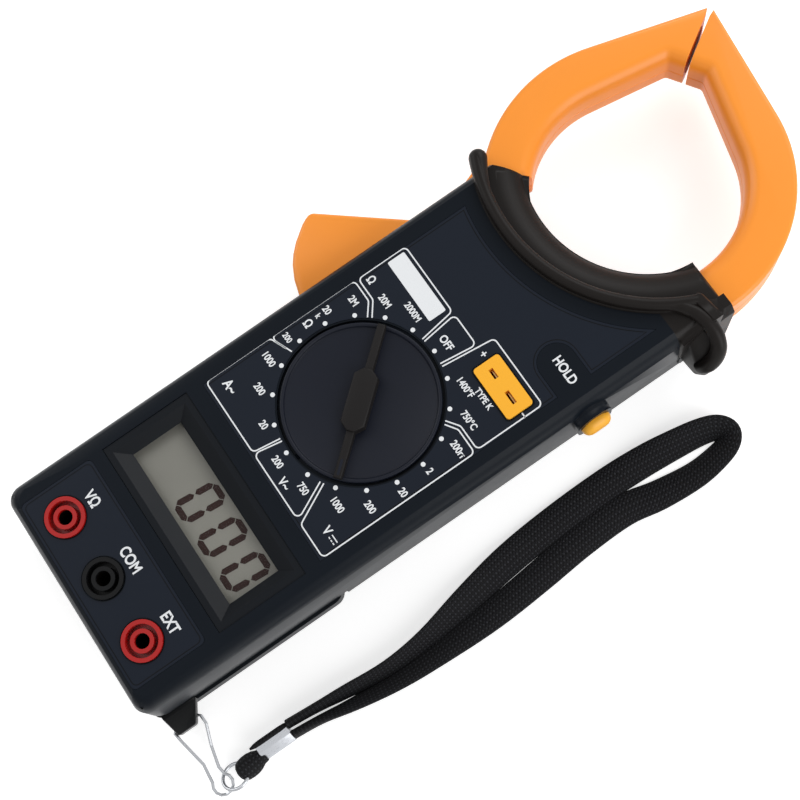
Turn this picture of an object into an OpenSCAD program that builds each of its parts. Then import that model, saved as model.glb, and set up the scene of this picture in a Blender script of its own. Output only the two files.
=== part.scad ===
// Clamp meter lying on its back. Millimetres.
// The origin is on the back rest face, straight under the centre of the rotary knob.
// +X points to the hold button's side, +Y to the jaws and +Z out of the face.

/* [Case] */
// Width of the case
body_w = 70; // [66:1:90]
// Height of the face above the back
face_z = 33.5; // [33:0.5:42]
// Distance from the knob's centre to the bottom end
bottom_y = 91; // [90:1:110]
// Height of the parting line between the two case halves
part_z = 17; // [16:0.5:17.5]
// Thickness of the case walls
wall = 2.2; // [1.6:0.1:2.8]
// Radius of the case's bottom corners
corner_r = 4; // [2:0.5:6]

/* [Jaws] */
// Centre of the jaws' ring, to the side of the knob's centre
ring_x = -8; // [-9:0.5:-7]
// Centre of the jaws' ring, above the knob's centre
ring_y = 93; // [92:1:98]
// Inner radius of the closed jaws
bore_r = 28; // [23:1:28]
// Radial width of the jaws
ring_w = 13.3; // [12.5:0.1:14]
// Thickness of the jaws
jaw_h = 16; // [15:0.5:16]
// Distance from the ring's centre to the closed tip
tip_reach = 54.6; // [50:0.5:62]
// Gap between the closed jaws
jaw_gap = 0.7; // [0.5:0.1:1.5]

/* [Trigger] */
// Radius of the jaw's pivot pin
pin_r = 2.5; // [2:0.1:3]
// Radial running clearance on the pivot pin
pin_fit = 0.05; // [0.03:0.01:0.1]
// Thickness of the trigger and its lever
lever_h = 12; // [9:0.5:12]

/* [Dial] */
// Radius of the rotary knob
knob_r = 21; // [17:0.5:21]
// Gap between the knob and the edge of its recess
knob_gap = 0.8; // [0.5:0.1:1.5]
// Height of the pointer bar above the face
pointer_h = 3; // [1.5:0.5:4]
// Number of switch positions
positions = 18; // [12:1:24]

/* [Jacks] */
// Distance between neighbouring test jacks
jack_pitch = 19; // [17:0.5:23]
// Radius of a jack's bore
jack_r = 2; // [1.5:0.1:2.2]

/* [Display] */
// Width of the display's clear opening
window_w = 46.8; // [40:0.2:47]
// Height of the display's clear opening
window_h = 14.8; // [12:0.2:16]

/* [Circuit board] */
// Thickness of the circuit board
board_h = 1.6; // [0.8:0.1:2]

/* [Hold button] */
// Length of the hold button along the case
hold_len = 10.2; // [8:0.2:12]
// Travel of the hold button
hold_travel = 1.5; // [0.8:0.1:2]

/* [Strap] */
// Width of the braided strap
strap_w = 6.2; // [4:0.2:6.4]
// Thickness of the braided strap
strap_t = 2.6; // [1.5:0.1:2.6]

/* [Hidden] */
$fn = 64;

// Small distances
cut = 1;          // how far a cutter runs past a face
seat = 0.1;       // gap round a piece that is dropped into a pocket
slide = 0.3;      // gap between pieces that pass each other
blend = 0.02;     // how far a flat runs into the round face that it leaves

// Case
half_w = body_w / 2;
roof_z = face_z - wall;          // underside of the face
top_y = ring_y - 1.5;            // upper end of the right shoulder
post_x = 20;                     // left end of that shoulder
corner_top = [ring_x - 18.5, ring_y - 22.6];     // ends of the slanting edge on the left
corner_side = [-half_w - 8, ring_y - 38.5];
arch_x = ring_x - 4.9;           // centre of the case's round upper edge
arch_y = ring_y + 6.2;
arch_r = bore_r + 4.9;
mouth_r = bore_r + 0.6;          // the same edge, where the ring's own circle limits it
lip_x = ring_x - 7;              // centre of the hand barrier's arc
lip_y = ring_y + 10.5;
lip_r = bore_r + 19.4;
lip_w = 3.4;                     // width of the hand barrier
lip_top = face_z + 3.5;          // top of the hand barrier
lip_from = 242.5;                // where the barrier starts, on its left end
lip_to = 336.5;                  // where it bends over to the side
shroud_z = face_z - 1.5;         // upper face of the jaw shroud
shroud_round = 9;                // radius of the shroud's convex edge
shoulder_y = ring_y - 18;        // lower end of the shroud's part on the right shoulder
jack_end_y = -64.5;              // upper end of the part that carries the jacks

// Jaws
jaw_z = 10.5;                    // underside of the jaws
jaw_top = jaw_z + jaw_h;
jaw_mid = jaw_z + jaw_h / 2;
ring_out = bore_r + ring_w;
jaw_lean = 122.7;                // direction of the tip, seen from the ring's centre
low_split = 266;                 // direction of the lower joint between the jaws
notch_r = bore_r + 8;            // flat end of the opening inside the tip
notch_w = 5.2;                   // half width of that end
slot_z0 = jaw_z - slide;         // slot in which the jaws swing
slot_z1 = jaw_top + 0.4;
fall_r = arch_r + 0.15 + sqrt(pow(shroud_round, 2) - pow(slot_z1 + 0.8 - shroud_z + shroud_round, 2));
core_inset = 2.95;               // laminated core: how far it lies inside the jaws' outline, and its size
core_w = ring_w - 2 * core_inset;
core_h = 8.4;
core_r = bore_r + ring_w / 2;    // middle of the core
coil_t = 1.2;                    // thickness of the winding on the core
coil_fit = 0.2;                  // gap between the winding and the core
bore_relief = 1.4;               // how much wider the moving jaw's bore is where the case covers it

// Trigger and pivot
pivot_x = ring_x - 20;
pivot_y = ring_y - 43;
lever_top = jaw_z + lever_h;
boss_r = 7;
tip_x = -half_w - 19.8;          // outermost point of the trigger
tip_y = 18.1;

// Board and switch
board_z = lever_top + 0.4;       // underside of the board
board_top = board_z + board_h;
board_w = body_w - 8.4;
board_y0 = -66.5;
board_y1 = 41.5;
recess_r = knob_r + knob_gap;
recess_z = face_z - 2;           // floor of the knob's recess
recess_t = 1.2;
hub_r = 8;
carrier_r = knob_r - 3.4;        // switch carrier under the knob
carrier_z1 = recess_z - recess_t - 0.2;
carrier_z0 = carrier_z1 - 3.6;
ball_r = 1.5;
ball_at = carrier_r;
track_r = carrier_r + ball_r + 0.1;
pointer_at = 130;                // direction of the pointer at rest

// Display
lcd_y = -48.8;
bezel_w = 56.8;
bezel_h = 26;
bezel_lip = 0.3;                 // how far the bezel lies below the face
lens_z = face_z - 3.9;
glass_w = 51;
glass_h = 20;
glass_z = lens_z - 3.2;
glass_t = 1.8;

// Jacks and sockets
jack_y = -79.1;
jack_ring_r = 5.4;
sleeve_r = jack_r + 0.6;
sleeve_z0 = 12;
socket_x = 17.9;
socket_y = 31.8;
socket_w = 15.8;
socket_h = 7.9;

// Hold button
hold_y = 47;
hold_z = 22.6;
hold_h = 6;
hold_out = 3;                    // how far the button stands out of the wall
guard_w = 2.2;

// Battery
cell = [48.5, 26.5, 17.5];
cell_y = -51.2;
cell_z = wall + 0.4;
door_y1 = -31.2;                 // upper edge of the battery cover
door_h = 9.6;                    // height of the cover's side walls
door_out = 0.4;                  // how far the cover stands out of the case
bay_z = 12;                      // floor line between the cover and the case's inner parts

// Screws: each place is x, y
case_screw_at = [[half_w - 7.5, -26], [-half_w + 7.5, -26], [half_w - 7.5, 57], [2, 47.5],
    [half_w - 6.6, -84.3], [-half_w + 6.6, -84.3]];
board_screw_at = [[half_w - 6.6, 23], [half_w - 7, -33.2], [-half_w + 7, -33.2], [-half_w + 9, -4]];
door_screw_at = [0, -83];
thread_r = 1.2;
thread_fit = 0.05;
head_r = 2.7;
jaw_ear_at = [-66, -36];         // directions of the fixed jaw's ears
ear_r = 4.2;
ear_reach = ring_out + 2;

// Strap and its fittings
lug_y = -86.3;
lug_z = 4.5;
lug_x = half_w + 3.4;
lug_w = 6.4;                     // length of the lug along the case
leg = 4.2;                       // distance of the wire's legs from the lug's middle
wire_r = 0.45;
ferrule_x = 55.3;
ferrule_y0 = -74.5;
ferrule_y1 = -64.4;
split_x = 57.2;
split_y = -83.2;
split_z = 2.7;
split_r = 3.7;
split_tilt = 30;
loop_y = split_y + 3.3;          // middle of the fold round the split ring
// Route of the strap: x, y and roll. At a roll of 0 it lies flat and at 90 it stands on edge.
strap_route = [[53.8, -64.15, 90], [54.3, -56, 88], [55.4, -47, 82], [56.6, -34, 76], [56, -21, 68],
    [53.4, -6, 45], [50.9, 10, 20], [49.9, 26, 5], [49.6, 42, 5], [50, 54, 30], [50.6, 64, 70],
    [51, 71, 88], [52.6, 76, 90], [56.6, 78.8, 90], [60.6, 76, 90], [62.2, 71, 88], [62.4, 63, 70],
    [60.4, 52, 30], [58, 42, 8], [58.2, 28, 5], [60.2, 13, 10], [61.7, -3, 20], [62.2, -19, 50],
    [61.8, -33, 66], [60.1, -46, 82], [58.2, -56, 88], [57, -64.15, 90]];

// Colours
case_black = [0.12, 0.13, 0.16];
jaw_orange = [0.99, 0.55, 0.16];
bright_steel = [0.75, 0.75, 0.77];
brass = [0.78, 0.62, 0.32];

// ---------------------------------------------------------------- helpers

// A rectangle with round corners, centred on its middle
module round_rect(w, h, r) {
    translate([-w / 2 + r, -h / 2]) square([w - 2 * r, h]);
    translate([-w / 2, -h / 2 + r]) square([w, h - 2 * r]);
    for (sx = [-1, 1], sy = [-1, 1])
        translate([sx * (w / 2 - r), sy * (h / 2 - r)]) circle(r = r);
}

// A bar with round ends, lying along its width
module stadium(w, h) {
    translate([-w / 2 + h / 2, -h / 2]) square([w - h, h]);
    for (s = [-1, 1])
        translate([s * (w - h) / 2, 0]) circle(r = h / 2);
}

// One flat level of the case: its outline drawn in by an inset
module case_level(z, inset) {
    h = bottom_y + top_y;
    translate([0, (top_y - bottom_y) / 2, z])
        linear_extrude(0.02)
            round_rect(body_w - 2 * inset, h - 2 * inset, corner_r);
}

// A sector of the plane round a centre, between two directions less than 360 degrees apart
module sector(r, from, to) {
    steps = ceil((to - from) / 30);
    polygon(concat([[0, 0]], [for (i = [0:steps]) r * [
        cos(from + (to - from) * i / steps),
        sin(from + (to - from) * i / steps)]]));
}

module at_ring() {
    translate([ring_x, ring_y, 0]) children();
}

module at_pivot() {
    translate([pivot_x, pivot_y, 0]) children();
}

// A tube through rings of points, each ring of the same count, with both ends closed
module tube_of(rings) {
    n = len(rings[0]);
    m = len(rings);
    sides = [for (i = [0:m - 2], j = [0:n - 1], half = [0, 1])
        let (a = i * n + j, b = i * n + (j + 1) % n)
            half == 0 ? [a, b, b + n] : [a, b + n, a + n]];
    start = [[for (j = [0:n - 1]) n - 1 - j]];
    end = [[for (j = [0:n - 1]) (m - 1) * n + j]];
    polyhedron(points = [for (r = rings, p = r) p], faces = concat(sides, start, end));
}

// A coil spring round the Z axis, from z = 0 to its height
module coil_spring(r, wire, turns, h, steps = 12) {
    rise = h - 2 * wire;
    count = turns * steps;
    tube_of([for (i = [0:count]) let (a = i * 360 / steps, z = wire + rise * i / count)
        [for (j = [0:5]) let (b = -j * 60) [
            (r + wire * cos(b)) * cos(a),
            (r + wire * cos(b)) * sin(a),
            z + wire * sin(b)]]]);
}

// ---------------------------------------------------------------- case

// Region in front of the hand barrier, where the case is cut down to the jaws
module jaw_region(z0, z1) {
    translate([lip_x, lip_y, z0]) cylinder(r = lip_r, h = z1 - z0);
}

// The round opening above the case, and the slanting corner on its left
module case_arch(z0, z1) {
    intersection() {
        translate([arch_x, arch_y, z0]) cylinder(r = arch_r, h = z1 - z0);
        at_ring() translate([0, 0, z0]) cylinder(r = mouth_r, h = z1 - z0);
    }
    translate([0, 0, z0])
        linear_extrude(z1 - z0)
            polygon([corner_top, corner_side, [-half_w - 8, top_y + 9],
                [post_x + 0.5, top_y + 9], [post_x + 0.5, top_y - 0.1], [ring_x, ring_y]]);
}

// Convex fall of the shroud's top towards the opening
module shroud_cutter() {
    difference() {
        translate([arch_x, arch_y, 0])
            rotate_extrude($fn = 96)
                difference() {
                    translate([2, slot_z1 + 0.8]) square([fall_r - 2, 12]);
                    translate([fall_r, shroud_z - shroud_round]) circle(r = shroud_round);
                }
        translate([half_w - 1, 0, 0]) cube([40, 200, 60]);
    }
}

// The hand barrier's ridge, with its round top
module barrier_ridge(z0) {
    translate([lip_x, lip_y, 0])
        rotate([0, 0, lip_from])
            rotate_extrude(angle = lip_to - lip_from, $fn = 96) {
                translate([lip_r - lip_w / 2, z0]) square([lip_w, lip_top - lip_w / 2 - z0]);
                translate([lip_r, lip_top - lip_w / 2]) circle(r = lip_w / 2);
            }
    translate([lip_x + lip_r * cos(lip_from), lip_y + lip_r * sin(lip_from), z0]) {
        cylinder(r = lip_w / 2, h = lip_top - lip_w / 2 - z0);
        translate([0, 0, lip_top - lip_w / 2 - z0]) sphere(r = lip_w / 2);
    }
}

// The barrier's right end, a lobe that bends over the shoulder: x, y and drop from the barrier's own end
lobe = [[6, 1, -0.8], [10.6, -0.8, -2.2], [12.5, -4.4, -4.4], [11.9, -7, -6.6], [5, -7.4, -7]];
lobe_z = 10;
module barrier_end(z0, z1) {
    translate([lip_x + lip_r * cos(lip_to), lip_y + lip_r * sin(lip_to), 0]) {
        hull()
            for (p = lobe) {
                top = min(z1, lip_top + p[2]);
                low_r = z0 == lobe_z ? 0.9 : lip_w / 2;
                translate([p[0], p[1], z0]) cylinder(r = low_r, h = top - z0, $fn = 24);
                translate([p[0], p[1], z0 + 1.5]) cylinder(r = lip_w / 2, h = top - z0 - 2.3, $fn = 24);
            }
        if (z1 > part_z)
            hull()
                for (p = [[0, 0, -0.2], lobe[0]])
                    translate([p[0], p[1], shroud_z - 2]) {
                        cylinder(r = lip_w / 2 - 0.5, h = lip_top + p[2] - shroud_z + 2, $fn = 24);
                        cylinder(r = lip_w / 2, h = lip_top + p[2] - shroud_z + 1.2, $fn = 24);
                    }
    }
}

// Round bulge of the right shoulder, beside the jaw: a stack of [z, radius] cones round the ring's centre
module shoulder_bulge(levels) {
    intersection() {
        translate([half_w - 5, top_y - 8, 0]) cube([12, 8, lip_top]);
        at_ring()
            for (i = [0:len(levels) - 2])
                translate([0, 0, levels[i][0]])
                    cylinder(r1 = levels[i][1], r2 = levels[i + 1][1], h = levels[i + 1][0] - levels[i][0]);
    }
}

module screw_holes_front() {
    for (p = case_screw_at)
        translate([p[0], p[1], part_z - cut])
            cylinder(r = thread_r + thread_fit, h = roof_z - 2.6 - part_z + cut);
}

// Outline of the printed dial label
module dial_label_outline(gap = 0) {
    difference() {
        translate([-27.5 - gap, -31 - gap]) square([55.5 + 2 * gap, ring_y + 31]);
        translate([lip_x, lip_y]) circle(r = lip_r + 6.1 - gap, $fn = 128);
        translate([20.6, hold_y - 0.4]) circle(r = 5.2 - gap);
        translate([20.6, hold_y - 5.6 + gap]) square([20, 10.4 - 2 * gap]);
    }
}

module jack_label_outline(gap = 0) {
    translate([0, -76.6]) round_rect(56.6 + 2 * gap, 21.8 + 2 * gap, 1.5);
}

module hold_outline(gap = 0) {
    rotate([0, 0, 90]) stadium(hold_len + 2 * gap, hold_h + 2 * gap);
}

// Turns an outline's first axis to the case's length and sets it on the right wall
module on_right_wall(x) {
    translate([x, hold_y, hold_z]) rotate([90, 0, 90]) children();
}

// Inner wall that closes the jaw pocket towards the round opening, on the fixed jaw's side
module pocket_wall(z0, z1) {
    at_ring()
        translate([0, 0, z0])
            rotate([0, 0, -86])
                rotate_extrude(angle = 82, $fn = 96)
                    translate([bore_r - 1.9, 0]) square([1.6, z1 - z0]);
}

// Where the jaw shroud parts from the rest of the front shell: outside the barrier and across the shoulder
module shroud_zone() {
    translate([lip_x, lip_y, part_z - cut]) cylinder(r = lip_r + lip_w / 2 + slide, h = lip_top, $fn = 128);
    translate([ring_x, shoulder_y, part_z - cut]) cube([body_w, ring_y, lip_top]);
}

// Where the end that carries the jacks parts from it, between the display and the jack label
module jack_end_zone() {
    translate([-body_w, -2 * bottom_y, part_z - cut]) cube([2 * body_w, 2 * bottom_y + jack_end_y, lip_top]);
}

module front_case() {
    color(case_black)
    difference() {
        front_shell();
        shroud_zone();
        jack_end_zone();
    }
}

module jack_end() {
    color(case_black)
    intersection() {
        front_shell();
        jack_end_zone();
    }
}

module jaw_shroud() {
    color(case_black)
    intersection() {
        front_shell();
        shroud_zone();
    }
}

// The whole front shell: the case, the shroud over the jaws, the barrier and all that stands inside
module front_shell() {
    difference() {
        union() {
            difference() {
                union() {
                    difference() {
                        hull() {
                            case_level(part_z, 0);
                            case_level(face_z - 5, 0.5);
                            case_level(face_z - 2.4, 1.3);
                            case_level(face_z - 1, 2.3);
                            case_level(face_z - 0.02, 3.6);
                        }
                        jaw_region(shroud_z, face_z + cut);
                    }
                    barrier_ridge(shroud_z - 2);
                    shoulder_bulge([[part_z, ring_out + 3.7], [28, ring_out + 3.1],
                        [shroud_z, ring_out + 0.2]]);
                    barrier_end(part_z, lip_top);
                }
                case_arch(part_z - cut, face_z + 9);
                shroud_cutter();
                // The hollow inside
                difference() {
                    translate([-half_w + wall, -bottom_y + wall, part_z - cut])
                        cube([body_w - 2 * wall, bottom_y + ring_y, roof_z - part_z + cut]);
                    jaw_region(slot_z1, face_z);
                    at_ring() cylinder(r = mouth_r + wall, h = face_z);
                }
                // Room for the jaws under the shroud
                translate([0, 0, part_z - cut])
                    linear_extrude(slot_z1 - part_z + cut)
                        intersection() {
                            translate([lip_x, lip_y]) circle(r = lip_r + 4);
                            translate([-half_w - 9, 0])
                                square([half_w + 9 + ring_x + ring_out + slide, top_y + 9]);
                        }
                // Side slot of the trigger
                translate([-half_w - cut, -0.5, part_z - cut])
                    cube([wall + 2 * cut, ring_y, slot_z1 - part_z + cut]);
            }
            pocket_wall(part_z, slot_z1 + 1);
            // Bosses that carry the board, the screws, the pivot and the switch track
            for (p = case_screw_at)
                translate([p[0], p[1], part_z]) cylinder(r = 3.2, h = roof_z - part_z + 0.5);
            for (p = board_screw_at)
                translate([p[0], p[1], board_top]) cylinder(r = 2.8, h = roof_z - board_top + 0.5);
            at_pivot() translate([0, 0, lever_top + slide]) cylinder(r = 5, h = roof_z - lever_top);
            translate([0, 0, carrier_z0 - 0.4]) cylinder(r = recess_r + 1, h = face_z - 1 - carrier_z0);
            // Ledge that holds the display bezel
            translate([0, lcd_y, lens_z + seat])
                linear_extrude(roof_z - lens_z) square([bezel_w + 4, bezel_h + 4], center = true);
            // Guard round the hold button
            on_right_wall(half_w - 3) linear_extrude(hold_out + 2) hold_outline(guard_w);
        }
        // The knob's recess, its hub bore and the switch track under it
        translate([0, 0, recess_z]) cylinder(r = recess_r, h = 9);
        translate([0, 0, carrier_z0 - cut]) cylinder(r = hub_r + seat, h = 9 + cut);
        translate([0, 0, carrier_z0 - cut])
            cylinder(r = track_r, h = recess_z - recess_t - carrier_z0 + cut);
        for (i = [0:positions - 1])
            rotate([0, 0, pointer_at + i * 360 / positions])
                translate([track_r - ball_r + 0.5, 0, carrier_z0 - cut])
                    cylinder(r = ball_r, h = recess_z - recess_t - carrier_z0 + cut);
        // Label pockets
        translate([0, 0, face_z - 0.3]) linear_extrude(cut) dial_label_outline(seat);
        translate([0, 0, face_z - 0.3]) linear_extrude(cut) jack_label_outline(seat);
        // Display, jacks, socket
        translate([0, lcd_y, lens_z - cut])
            linear_extrude(9) square([bezel_w + 2 * seat, bezel_h + 2 * seat], center = true);
        for (i = [-1:1])
            translate([i * jack_pitch, jack_y, roof_z - cut]) cylinder(r = jack_ring_r + seat, h = 9);
        translate([socket_x, socket_y, roof_z - cut])
            linear_extrude(9) round_rect(socket_w + 2 * seat, socket_h + 2 * seat, 1);
        // Hold button and the scoop above it
        on_right_wall(half_w - 12) linear_extrude(20) hold_outline(0.15);
        // Pivot pin and screws
        at_pivot() cylinder(r = pin_r, h = roof_z - 1);
        screw_holes_front();
        for (p = board_screw_at)
            translate([p[0], p[1], 0]) cylinder(r = 1 + thread_fit, h = roof_z - 1);
        // Flat meeting face of the two halves
        translate([-200, -200, -40]) cube([400, 400, 40 + part_z]);
    }
}

module rear_shell() {
    difference() {
        union() {
            hull() {
                case_level(0, 4);
                case_level(1.2, 2);
                case_level(4, 0.8);
                case_level(part_z - 0.02, 0);
            }
            shoulder_bulge([[0, ring_out], [4, ring_out + 3], [part_z, ring_out + 3.7]]);
        }
        case_arch(-cut, part_z + cut);
        // The hollow inside
        translate([-half_w + wall, -bottom_y + wall, wall])
            linear_extrude(part_z) difference() {
                square([body_w - 2 * wall, bottom_y + top_y - 2 * wall]);
                translate([ring_x + half_w - wall, ring_y + bottom_y - wall]) circle(r = mouth_r + wall);
            }
        // Slot of the jaws and the trigger
        translate([-half_w - cut, -0.5, slot_z0]) cube([wall + 2 * cut, ring_y + 9, part_z]);
        translate([0, 0, slot_z0])
            linear_extrude(part_z) intersection() {
                translate([lip_x, lip_y]) circle(r = lip_r + 4);
                translate([-half_w - 9, 0]) square([half_w + 9 + ring_x + ring_out + slide, top_y + 9]);
            }
    }
}

// Wall along the slanting upper left corner
module slant_wall(z0, z1) {
    slope = (corner_top[1] - corner_side[1]) / (corner_top[0] - corner_side[0]);
    low = [-half_w + 0.7, corner_top[1] - (corner_top[0] + half_w - 0.7) * slope];
    translate([0, 0, z0])
        linear_extrude(z1 - z0)
            polygon([corner_top - [0, blend], low - [0, blend], low - [0, 3.1], corner_top + [1.4, -2]]);
}

module rear_case() {
    color(case_black)
    difference() {
        union() {
            difference() {
                rear_shell();
                // Seat of the battery cover
                translate([-half_w - cut, -bottom_y - cut, -cut])
                    cube([body_w + 2 * cut, bottom_y + door_y1 + cut, door_h + cut]);
            }
            // Rim that stands inside the battery cover
            translate([0, (door_y1 - bottom_y) / 2, wall + slide])
                linear_extrude(part_z - wall - slide - 2)
                    difference() {
                        square([body_w - 4 * wall, bottom_y + door_y1 - 3.6 * wall], center = true);
                        square([body_w - 6 * wall, bottom_y + door_y1 - 5.6 * wall], center = true);
                    }
            // Flat bridge between that rim and the outer wall
            translate([0, (door_y1 - bottom_y) / 2, door_h])
                linear_extrude(1.8)
                    difference() {
                        round_rect(body_w - 0.8, bottom_y + door_y1 - 0.2, 2);
                        square([body_w - 6 * wall, bottom_y + door_y1 - 5.6 * wall], center = true);
                    }
            // Partition at the battery's lower side, which also carries the cover's screw
            translate([-half_w + 3 * wall, -70.5, wall + slide]) cube([body_w - 6 * wall, 2, bay_z]);
            translate([door_screw_at[0], door_screw_at[1], wall + slide]) cylinder(r = 3.6, h = bay_z - 4);
            translate([-2, -86, wall + slide]) cube([4, 16, bay_z - 4]);
            pocket_wall(wall - 0.5, part_z);
            slant_wall(wall - 0.5, slot_z0);
            for (p = case_screw_at)
                let (z0 = p[1] < door_y1 ? wall + slide : wall - 0.5)
                    translate([p[0], p[1], z0]) cylinder(r = 3.2, h = part_z - z0);
            for (a = jaw_ear_at)
                at_ring() rotate([0, 0, a]) translate([ear_reach, 0, wall - 0.5])
                    cylinder(r = ear_r, h = jaw_z - wall + 0.5);
            at_pivot() translate([0, 0, wall - 0.5]) cylinder(r = 5, h = slot_z0 - wall + 0.5);
            barrier_end(lobe_z, part_z);
            // Strap lug on the lower right corner, above the battery cover
            difference() {
                hull() {
                    translate([half_w + 1, lug_y - lug_w / 2, lug_z - 1.7]) cube([4.1, lug_w - 1.2, 3.4]);
                    translate([half_w - 2, lug_y - lug_w / 2, door_h]) cube([1.8, 10, 3]);
                }
                translate([-half_w, -bottom_y, -cut]) cube([body_w + 0.6, 60, door_h + cut]);
            }
        }
        // Strap wire hole, pivot pin, screws
        translate([lug_x, lug_y - 10, lug_z]) rotate([-90, 0, 0]) cylinder(r = wire_r + 0.35, h = 20);
        at_pivot() translate([0, 0, wall]) cylinder(r = pin_r, h = part_z);
        for (p = case_screw_at) {
            translate([p[0], p[1], -cut]) cylinder(r = 1.5, h = part_z + 2 * cut);
            translate([p[0], p[1], -cut]) cylinder(r = head_r + 0.3, h = (p[1] < door_y1 ? 6 : 3.4) + cut);
        }
        for (a = jaw_ear_at)
            at_ring() rotate([0, 0, a]) translate([ear_reach, 0, 4])
                cylinder(r = thread_r + thread_fit, h = part_z);
        translate([door_screw_at[0], door_screw_at[1], -cut])
            cylinder(r = thread_r + thread_fit, h = bay_z - 2);
        on_right_wall(half_w - 12) linear_extrude(20) hold_outline(0.15);
    }
}

module battery_cover() {
    width = body_w + 2 * door_out;
    length = bottom_y + door_out + door_y1 - slide;
    color(case_black)
    difference() {
        translate([0, (door_y1 - slide - bottom_y - door_out) / 2, 0])
            difference() {
                hull() {
                    linear_extrude(0.02) round_rect(width - 8, length - 6, corner_r);
                    translate([0, 0, 1.2])
                        linear_extrude(0.02) round_rect(width - 3.2, length - 2, corner_r);
                    translate([0, 0, 4])
                        linear_extrude(door_h - slide - 4) round_rect(width, length, corner_r);
                }
                translate([0, 0, wall])
                    linear_extrude(door_h) round_rect(width - 2 * wall, length - 2 * wall, 2);
            }
        translate([door_screw_at[0], door_screw_at[1], -cut]) cylinder(r = 1.5, h = wall + 2 * cut);
        translate([door_screw_at[0], door_screw_at[1], -cut]) cylinder(r = head_r + 0.3, h = cut + 1.2);
        // Shallow grip grooves
        for (i = [0:5])
            translate([0, door_y1 - 6 - 2.4 * i, -0.4])
                rotate([0, 90, 0]) cylinder(r = 0.8, h = 24, center = true);
    }
}

// A screw along Z: its head starts at z0 and its thread ends at z1
module screw(z0, z1, r = thread_r, head = head_r, head_h = 1.8) {
    translate([0, 0, z0])
        difference() {
            union() {
                cylinder(r = head, h = head_h);
                cylinder(r = r - 0.02, h = z1 - z0);
            }
            for (a = [0, 90])
                rotate([0, 0, a]) translate([-head * 0.65, -0.3, -cut]) cube([head * 1.3, 0.6, cut + 0.9]);
        }
}

module battery_cover_screw() {
    color(bright_steel)
    translate([door_screw_at[0], door_screw_at[1], 0]) screw(0.3, 8.5, head_h = 0.9);
}

module case_screws() {
    color(bright_steel)
    for (p = case_screw_at)
        translate([p[0], p[1], 0]) screw(p[1] < door_y1 ? 4.2 : 1.6, part_z + 9);
}

// ---------------------------------------------------------------- face

module dial_label() {
    color([0.13, 0.15, 0.2])
    translate([0, 0, face_z - 0.3])
        linear_extrude(0.25)
            difference() {
                dial_label_outline();
                circle(r = recess_r + 0.4);
                translate([socket_x, socket_y]) round_rect(socket_w + 1, socket_h + 1, 1.2);
            }
}

module jack_label() {
    color([0.13, 0.15, 0.2])
    translate([0, 0, face_z - 0.3])
        linear_extrude(0.25)
            difference() {
                jack_label_outline();
                for (i = [-1:1])
                    translate([i * jack_pitch, jack_y]) circle(r = jack_ring_r + 0.4);
            }
}

module lcd_bezel() {
    top = face_z - bezel_lip;
    low = face_z - 2.75;
    color([0.1, 0.1, 0.11])
    translate([0, lcd_y, 0])
        difference() {
            translate([-bezel_w / 2, -bezel_h / 2, lens_z + 1.1])
                cube([bezel_w, bezel_h, top - lens_z - 1.1]);
            translate([-window_w / 2, -window_h / 2, 0]) cube([window_w, window_h, face_z]);
            hull() {
                translate([0, 0, low])
                    linear_extrude(0.01) square([window_w + 0.02, window_h + 0.02], center = true);
                translate([0, 0, top + 0.01])
                    linear_extrude(0.01) square([bezel_w - 4.2, bezel_h - 3.6], center = true);
            }
        }
}

module lcd_window() {
    color([0.7, 0.75, 0.75, 0.3])
    translate([0, lcd_y, lens_z + seat]) linear_extrude(1) round_rect(glass_w + 1.4, glass_h + 0.6, 1);
}

module lcd_glass() {
    color([0.6, 0.6, 0.56])
    translate([0, lcd_y, glass_z])
        union() {
            linear_extrude(glass_t / 2) square([glass_w, glass_h], center = true);
            translate([0, 0, glass_t / 2])
                linear_extrude(glass_t / 2) square([glass_w, glass_h - 2.4], center = true);
        }
}

module lcd_carrier() {
    color([0.85, 0.85, 0.82])
    translate([0, lcd_y, board_top])
        difference() {
            linear_extrude(lens_z - 0.2 - board_top) square([glass_w + 4, glass_h + 4], center = true);
            translate([0, 0, glass_z - board_top - seat])
                linear_extrude(9) square([glass_w + 2 * seat, glass_h + 2 * seat], center = true);
            translate([0, 0, -cut]) linear_extrude(9) square([glass_w - 3, glass_h - 0.6], center = true);
        }
}

module zebra_strips() {
    color([0.85, 0.5, 0.6])
    for (s = [-1, 1])
        translate([-22.5, lcd_y + s * (glass_h / 2 - 1.9) - 1, board_top])
            cube([45, 2, glass_z - board_top]);
}

// ---------------------------------------------------------------- board

module main_board() {
    color([0.1, 0.4, 0.2])
    translate([0, 0, board_z])
        linear_extrude(board_h)
            difference() {
                translate([-board_w / 2, board_y0]) square([board_w, board_y1 - board_y0]);
                // Corner cut away round the jaw's pivot
                translate([-board_w / 2 - cut, pivot_y - 17]) square([board_w / 2 - 8.4, 20]);
                for (p = board_screw_at)
                    translate(p) circle(r = 1.3);
                circle(r = 2.6);
                for (p = case_screw_at)
                    translate(p) circle(r = 3.6);
            }
}

module board_screws() {
    color(bright_steel)
    for (p = board_screw_at)
        translate([p[0], p[1], 0]) screw(board_z - 1.2, board_top + 5, r = 1, head = 2, head_h = 1.2);
}

module board_chips() {
    color([0.07, 0.07, 0.08]) {
        // Measuring chip and two small ones, under the board
        translate([-2, -19, board_z - 2.2]) cube([14, 14, 2.2]);
        translate([16, -8, board_z - 1.6]) cube([5, 4, 1.6]);
        translate([14, 8, board_z - 1.6]) cube([5, 4, 1.6]);
        for (i = [0:5], s = [-1, 1])
            translate([0 + i * 2, -12 + s * 7.5 - 0.5, board_z - 0.5]) cube([0.8, 1, 0.5]);
    }
}

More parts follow.
